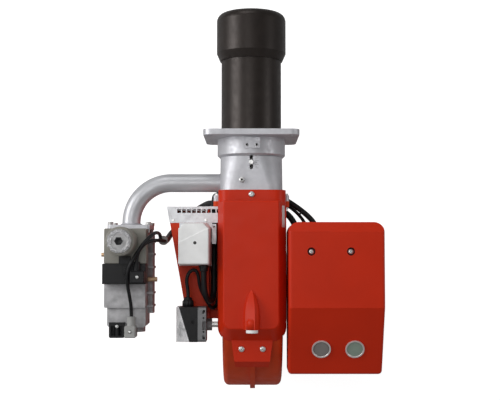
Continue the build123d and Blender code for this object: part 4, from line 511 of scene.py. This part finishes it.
def along_edge(corners, count):
    """Points spaced evenly along a closed polygon's edge."""
    corners = np.asarray(corners, dtype=float)
    closed = np.vstack([corners, corners[:1]])
    steps = np.concatenate([[0], np.cumsum(np.linalg.norm(np.diff(closed, axis=0),
                                                          axis=1))])
    at = np.linspace(0, steps[-1], count, endpoint=False)
    return np.stack([np.interp(at, steps, closed[:, k]) for k in (0, 1)], axis=-1)


def actuator_lid():
    """Skin on the actuator's lid. Over the outline shrunk towards its middle,
    height is the lid's top plus 1.8 mm times a smooth step of the distance past
    the slanting crease; the rim drops below the lid to close the skin."""
    low, high = box_of("servo_cover")
    low, high = low / MM, high / MM
    left, right = low[0] + 5.2, high[0] - 5.2
    rear, front, top = low[1] + 5.4, high[1] - 4.4, high[2]
    rim = along_edge([(left, rear), (right, rear), (right, front - 11),
                      (right - 11, front), (left + 11, front), (left, front - 11)], 240)
    middle = np.array([(left + right) / 2, (rear + front) / 2 + 8])
    shrink = np.concatenate([[1.0, 1.0, 0.992], np.linspace(0.975, 0.02, 70)])
    plan = middle + shrink[:, None, None] * (rim - middle)[None]
    a = np.array([left, front - 42.0])
    b = np.array([right, front - 10.0])
    across = np.array([b[1] - a[1], a[0] - b[0]]) / np.linalg.norm(b - a)
    past = (plan - a) @ across
    step = np.clip(past / 2.2 + 0.5, 0, 1)
    height = top + 0.12 + 1.8 * step * step * (3 - 2 * step)
    height[0] = top - 0.6
    height[1] = top - 0.05
    rows = np.dstack([plan, height[..., None]]) * MM
    pole = (*middle * MM, (top - 0.6) * MM)
    tip = (*middle * MM, height[-1].mean() * MM)
    return surface("actuator_lid_skin", rows[:, ::-1], "white_plastic",
                   first_pole=pole, last_pole=tip)


def cable_tie(name, centre, direction, half, width=4.6, thick=1.3):
    """Flat nylon band round two cables: a rounded strip section carried round
    an ellipse square to the cables."""
    across, along, normal = square_to(direction)
    turn = np.linspace(0, 2 * math.pi, 72, endpoint=False)
    out = (np.cos(turn)[:, None] * across * half[0]
           + np.sin(turn)[:, None] * along * half[1])
    radial = (np.cos(turn)[:, None] * across * half[1]
              + np.sin(turn)[:, None] * along * half[0])
    radial /= np.linalg.norm(radial, axis=1)[:, None]
    section = np.array([(-0.5, 0), (-0.5, 0.8), (-0.4, 1), (0.4, 1), (0.5, 0.8),
                        (0.5, 0), (0, -0.05)])
    rows = (np.asarray(centre) + out[:, None] + section[None, :, 1, None] * thick
            * radial[:, None] + section[None, :, 0, None] * width * normal)
    rows = np.concatenate([rows, rows[:1]])
    return surface(name, rows * MM, "black_plastic")


def knob_core():
    """Black hexagon driver in the middle of the clear knob: hexagon rings
    stepped in towards a round blind hole."""
    top = box_of("valve_knob")[1][2] / MM
    x, y = KNOB_AXIS
    sectors = 72
    angle = np.linspace(0, 2 * math.pi, sectors, endpoint=False)
    hexagon = math.cos(math.pi / 6) / np.cos(np.mod(angle, math.pi / 3) - math.pi / 6)
    steps = [(9.4, -1.6, 1), (9.6, 0.4, 1), (9.0, 0.9, 1), (7.4, 1.0, 1), (5.0, 1.0, 0),
             (4.7, 0.6, 0), (4.6, -0.9, 0), (1.5, -1.1, 0)]
    rings = np.array([hexagon * r if six else np.full(sectors, r)
                      for r, _, six in steps])
    level = np.array([h for _, h, _ in steps])[:, None] * np.ones_like(rings)
    rows = np.stack([x + rings * np.cos(angle), y + rings * np.sin(angle),
                     top + level], axis=-1)
    return surface("knob_core", rows * MM, "black_plastic", "regulator_knob",
                   first_pole=np.array((x, y, top - 1.6)) * MM,
                   last_pole=np.array((x, y, top - 1.1)) * MM)


def knob_crown():
    """Clear knurled crown of the knob. Radius is R plus a cosine ripple of
    fourteen lobes, and the section is a rounded ridge."""
    top = box_of("valve_knob")[1][2] / MM
    x, y = KNOB_AXIS
    angle = np.linspace(0, 2 * math.pi, 240, endpoint=False)
    ripple = 1.5 * np.cos(14 * angle) + 0.4 * np.cos(28 * angle + 0.4)
    section = [(24.4, -3.0, 0.6), (25.2, -1.2, 1.0), (24.0, 0.6, 1.0), (21.6, 1.3, 0.7),
               (18.8, 0.9, 0.5), (17.4, -0.6, 0.2), (17.6, -3.0, 0.0)]
    rings = np.array([r + k * ripple for r, _, k in section])
    level = np.array([h for _, h, _ in section])[:, None] * np.ones_like(rings)
    rows = np.stack([x + rings * np.cos(angle), y + rings * np.sin(angle),
                     top - 2.0 + level], axis=-1) * MM
    rows = np.concatenate([rows, rows[:1]])
    return surface("knob_crown", rows, "clear_plastic", "regulator_knob")


def scale_marks():
    """Graduation beside the slot: each mark is a low half-round bar."""
    made = []
    for i in range(8):
        y = -86.0 + 4.2 * i
        long_mark = 9.0 if i % 2 == 0 else 5.5
        x0 = 7.5
        z = top_of("pipe_coupling", x0 + 2.0, y)
        bow = np.linspace(0, math.pi, 7)
        xs = np.array([x0, x0 + long_mark])
        rows = np.array([[(x, y + 0.45 * math.cos(b), z - 0.15 + 0.55 * math.sin(b))
                          for b in bow] for x in xs])
        made.append(surface(f"mark_{i}", rows * MM, "drawn_steel",
                            first_pole=np.array((x0, y, z - 0.2)) * MM,
                            last_pole=np.array((x0 + long_mark, y, z - 0.2)) * MM))
    return joined("scale_marks", made)


def top_of(node, x, y):
    """Height of a node's surface straight below a point, in mm."""
    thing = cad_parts[node]
    hit, place, _, _ = thing.ray_cast((x * MM, y * MM, 1.0), (0, 0, -1))
    return place.z / MM if hit else None


def bare_strip():
    """Blank pale sticker on the cover's right shoulder: a thin plate between
    four points taken on the cover, bilinear in both parameters."""
    xs, ys = (69.5, 75.5), (-221.0, -172.0)
    corners = np.array([[(x, y, top_of("housing_cover", x, y)) for y in ys] for x in xs])
    u = np.linspace(0, 1, 5)[:, None, None]
    v = np.linspace(0, 1, 25)[None, :, None]
    flat = ((1 - u) * (1 - v) * corners[0, 0] + u * (1 - v) * corners[1, 0]
            + (1 - u) * v * corners[0, 1] + u * v * corners[1, 1])
    normal = np.cross(corners[1, 0] - corners[0, 0], corners[0, 1] - corners[0, 0])
    normal /= np.linalg.norm(normal)
    top = flat + 0.30 * normal
    under = flat - 0.10 * normal
    rows = np.concatenate([top, under[:, ::-1]], axis=1)
    centre_low = corners[0].mean(axis=0)
    centre_high = corners[1].mean(axis=0)
    return surface("bare_strip", rows * MM, "bare_label",
                   first_pole=centre_low * MM, last_pole=centre_high * MM,
                   smooth=False)


def turned(name, profile, at, normal, finish, body="burner", sectors=64):
    """Closed turned ring: the profile's radius and height pairs carried round
    the axis and joined back to the first."""
    rows = turned_rings(profile + profile[:1], np.asarray(at) * MM, normal, sectors)
    return surface(name, rows, finish, body)


def hood_sheath():
    """Half tube over the sight pocket at the hood's rear: x = R cos t,
    z = R sin t for t from 0 to 180 degrees, R thicker by the wall outside."""
    low, high = box_of("sight_ring")
    x = (low[0] + high[0]) / 2 / MM
    z = (low[2] + high[2]) / 2 / MM
    front, rear = high[1] / MM + 0.2, high[1] / MM + 20.0
    turn = np.linspace(0, math.pi, 49)
    rows = []
    for y, grow in ((front, 12.6), (front, 13.4), (rear, 12.4), (rear + 4, 9.0)):
        rows.append([(x + grow * math.cos(t), y, z + grow * math.sin(t)) for t in turn])
    rows = np.array(rows) * MM
    return surface("hood_sheath", rows, "red_enamel", wrap=False)


def recess_shade_rings():
    """Painted shade: a black ring on the floor of each sunk panel screw's well, round the
    head, where the well lies in shade.
    """
    low, high = box_of("panel_screws")
    ends = (low[0] / MM + SUNK_HEAD_HALF_WIDTH, high[0] / MM - SUNK_HEAD_HALF_WIDTH)
    for i, x in enumerate(ends):
        y = (low[1] + high[1]) / 2 / MM
        # Painted shade ring on the floor of the well.
        turned(f"recess_shade_ring_{i}", [(SUNK_HEAD_HALF_WIDTH, 0.0), (9.0, 0.0), (9.0, 0.7),
                                       (SUNK_HEAD_HALF_WIDTH, 0.7)],
               (x, y, RECESS_FLOOR), (0, 0, 1), "black_plastic")


def switch_gland():
    """Ribbed dome nut of the air switch: radius R (1 + 0.05 cos 12 t), falling
    to the cable over a rounded shoulder."""
    angle = np.linspace(0, 2 * math.pi, 144, endpoint=False)
    x, z = -144.5, 46.0
    section = [(11.2, -400.8, 0.4), (12.4, -399.6, 1), (12.4, -389.5, 1),
               (11.2, -387.2, 1), (8.0, -384.6, 0.6), (5.4, -383.6, 0), (4.4, -385.0, 0)]
    rows = [np.stack([x + r * (1 + 0.05 * k * np.cos(12 * angle)) * np.cos(angle),
                      np.full(angle.shape, y),
                      z + r * (1 + 0.05 * k * np.cos(12 * angle)) * np.sin(angle)], axis=-1)
            for r, y, k in section]
    return surface("switch_gland", np.array(rows) * MM, "black_plastic")


def shade_in_switch_wells():
    """Painted shade: black discs on top of the air switch's base, near its edge, where its
    screw wells lie in shade.
    """
    top = box_of("air_switch_base")[1][2] / MM
    for i, (dx, y, r) in enumerate(((-5.0, -410.0, 3.0), (-5.0, -470.0, 3.0),
                                    (-5.5, -425.0, 2.2), (-5.5, -456.0, 2.2))):
        # Painted shade: a black disc for each shaded screw well.
        turned(f"switch_well_shade_{i}", [(0.3, 0.05), (r, 0.05), (r, 0.35), (0.3, 0.35)],
               (SWITCH_BASE_RIGHT + dx, y, top), (0, 0, 1), "black_plastic",
               sectors=32)


def pad_socket_shade_and_nipple():
    """Painted shade: black discs on the two pad screws where their sockets lie in
    shade, and a steel collar on the sleeve's test nipple with painted shade in its bore."""
    # Painted shade: a black disc on each pad screw for its shaded socket.
    for i, x in enumerate((-10.0, 12.0)):
        turned(f"pad_socket_shade_{i}", [(0.3, 0.05), (2.5, 0.05), (2.5, 0.4), (0.3, 0.4)],
               (x, -33.5, 84.0), (0, 0, 1),
               "black_plastic", sectors=32)
    turned("nipple_collar", [(2.75, 8.02), (5.7, 8.3), (5.8, 0.2), (5.52, 0.2),
                             (5.52, 8.0)], (-21.6, -113.0, 75.7), (0, 0, 1),
           "bright_zinc", sectors=48)
    # Painted shade: a black disc for the shade inside the nipple's bore.
    turned("nipple_bore_shade", [(0.2, 7.0), (2.7, 7.0), (2.7, 7.2), (0.2, 7.2)],
           (-21.6, -113.0, 75.7), (0, 0, 1), "black_plastic",
           sectors=32)


def fittings():
    pad_socket_shade_and_nipple()
    hood_sheath()
    recess_shade_rings()
    switch_gland()
    shade_in_switch_wells()
    housing_screws()
    panel_head_screws()
    actuator_lid()
    knob_core()
    knob_crown()
    scale_marks()
    bare_strip()
    cable_tie("cable_tie", (121, -180, -96), (38, -29, 0), (15.8, 7.8))
    cross_screw("lid_screw", np.array((-126.0, -256.5, 111.6)) * MM, (0, 0, 1), 3.6,
                1.3, 1.2, 1.0, 0.6, "black_oxide")
    cross_screw("black_plug_screw", np.array((-252.5, -332.75, 130.3)) * MM, (0, 0, 1),
                3.5, 1.6, 1.2, 1.0, 0.4)
    cross_screw("grey_plug_screw", np.array((-274.5, -457.5, 70.3)) * MM, (0, 0, 1),
                3.2, 1.3, 1.2, 1.0, 0.9)
    cross_screw("switch_clip_screw", np.array((-305.5, -446.0, 53.2)) * MM, (0, 0, 1),
                4.0, 2.6, 1.6, 3.0, 0.2)


fittings()


# ---- floor, light and camera --------------------------------------------
def white_stage():
    """Floor disc under the burner that keeps its shadow, pale beyond it."""
    floor_z = solid_box[0][2] - 0.002
    rings = np.array([[r, 0.0] for r in (0.5, 1, 2, 4, 9)]) / MM
    rows = turned_rings(rings, (0, -0.155, floor_z), (0, 0, 1), 64)
    mesh = surface("floor", rows, "bare_label", last_pole=None,
                   first_pole=(0, -0.155, floor_z))
    f = Finish("studio_floor", (0.5, 0.5, 0.5), 0.9)
    f.mottled(f.noise(1.5, 3), 0.01)
    glow = f.nodes.new("ShaderNodeEmission")
    rays = f.nodes.new("ShaderNodeLightPath")
    seen = f.nodes.new("ShaderNodeMath")
    seen.operation = "MAXIMUM"
    f.links.new(rays.outputs["Is Camera Ray"], seen.inputs[0])
    f.links.new(rays.outputs["Is Transmission Ray"], seen.inputs[1])
    level = f.nodes.new("ShaderNodeMath")
    level.operation = "MULTIPLY"
    level.inputs[1].default_value = 0.85
    f.links.new(seen.outputs[0], level.inputs[0])
    f.links.new(level.outputs[0], glow.inputs["Strength"])
    both = f.nodes.new("ShaderNodeAddShader")
    f.links.new(f.shader.outputs[0], both.inputs[0])
    f.links.new(glow.outputs[0], both.inputs[1])
    f.links.new(both.outputs[0], f.nodes["Material Output"].inputs["Surface"])
    mesh.data.materials.clear()
    mesh.data.materials.append(f.material)


def world_light():
    """White seen directly, softer where it lights the burner."""
    world = bpy.data.worlds.new("studio")
    bpy.context.scene.world = world
    world.use_nodes = True
    nodes, links = world.node_tree.nodes, world.node_tree.links
    back = nodes["Background"]
    rays = nodes.new("ShaderNodeLightPath")
    seen = nodes.new("ShaderNodeMath")
    seen.operation = "MAXIMUM"
    links.new(rays.outputs["Is Camera Ray"], seen.inputs[0])
    links.new(rays.outputs["Is Transmission Ray"], seen.inputs[1])
    scale = nodes.new("ShaderNodeMapRange")
    scale.inputs[3].default_value = 0.24
    scale.inputs[4].default_value = 1.0
    links.new(seen.outputs[0], scale.inputs["Value"])
    links.new(scale.outputs["Result"], back.inputs["Strength"])
    back.inputs["Color"].default_value = (1, 1, 1, 1)


def lamp(name, at, aim, size, power):
    light = bpy.data.lights.new(name, "AREA")
    light.size = size
    light.energy = power
    holder = bpy.data.objects.new(name, light)
    bpy.context.scene.collection.objects.link(holder)
    holder.location = at
    reach = np.array(aim) - np.array(at)
    holder.rotation_euler = (math.atan2(math.hypot(reach[0], reach[1]), -reach[2]), 0,
                             math.atan2(-reach[0], reach[1]))
    return holder


def studio():
    white_stage()
    world_light()
    aim = (0, -0.15, 0)
    lamp("left_softbox", (-2.1, 0.35, 1.15), aim, 1.3, 30)
    lamp("front_softbox", (-0.5, 2.0, 1.3), aim, 1.2, 11)
    lamp("right_softbox", (2.1, 0.05, 1.0), aim, 0.7, 6)
    lamp("overhead", (-0.5, 0.1, 2.9), aim, 1.2, 11)
    camera = bpy.data.objects.new("camera", bpy.data.cameras.new("camera"))
    bpy.context.scene.collection.objects.link(camera)
    camera.data.sensor_width = 36.0
    camera.data.lens = 75.6
    camera.data.clip_end = 60
    camera.location = (-0.003, -0.292, 2.453)
    camera.rotation_euler = (math.radians(3.2), 0, 0)
    bpy.context.scene.camera = camera
    bpy.context.scene.view_settings.view_transform = "Standard"


studio()
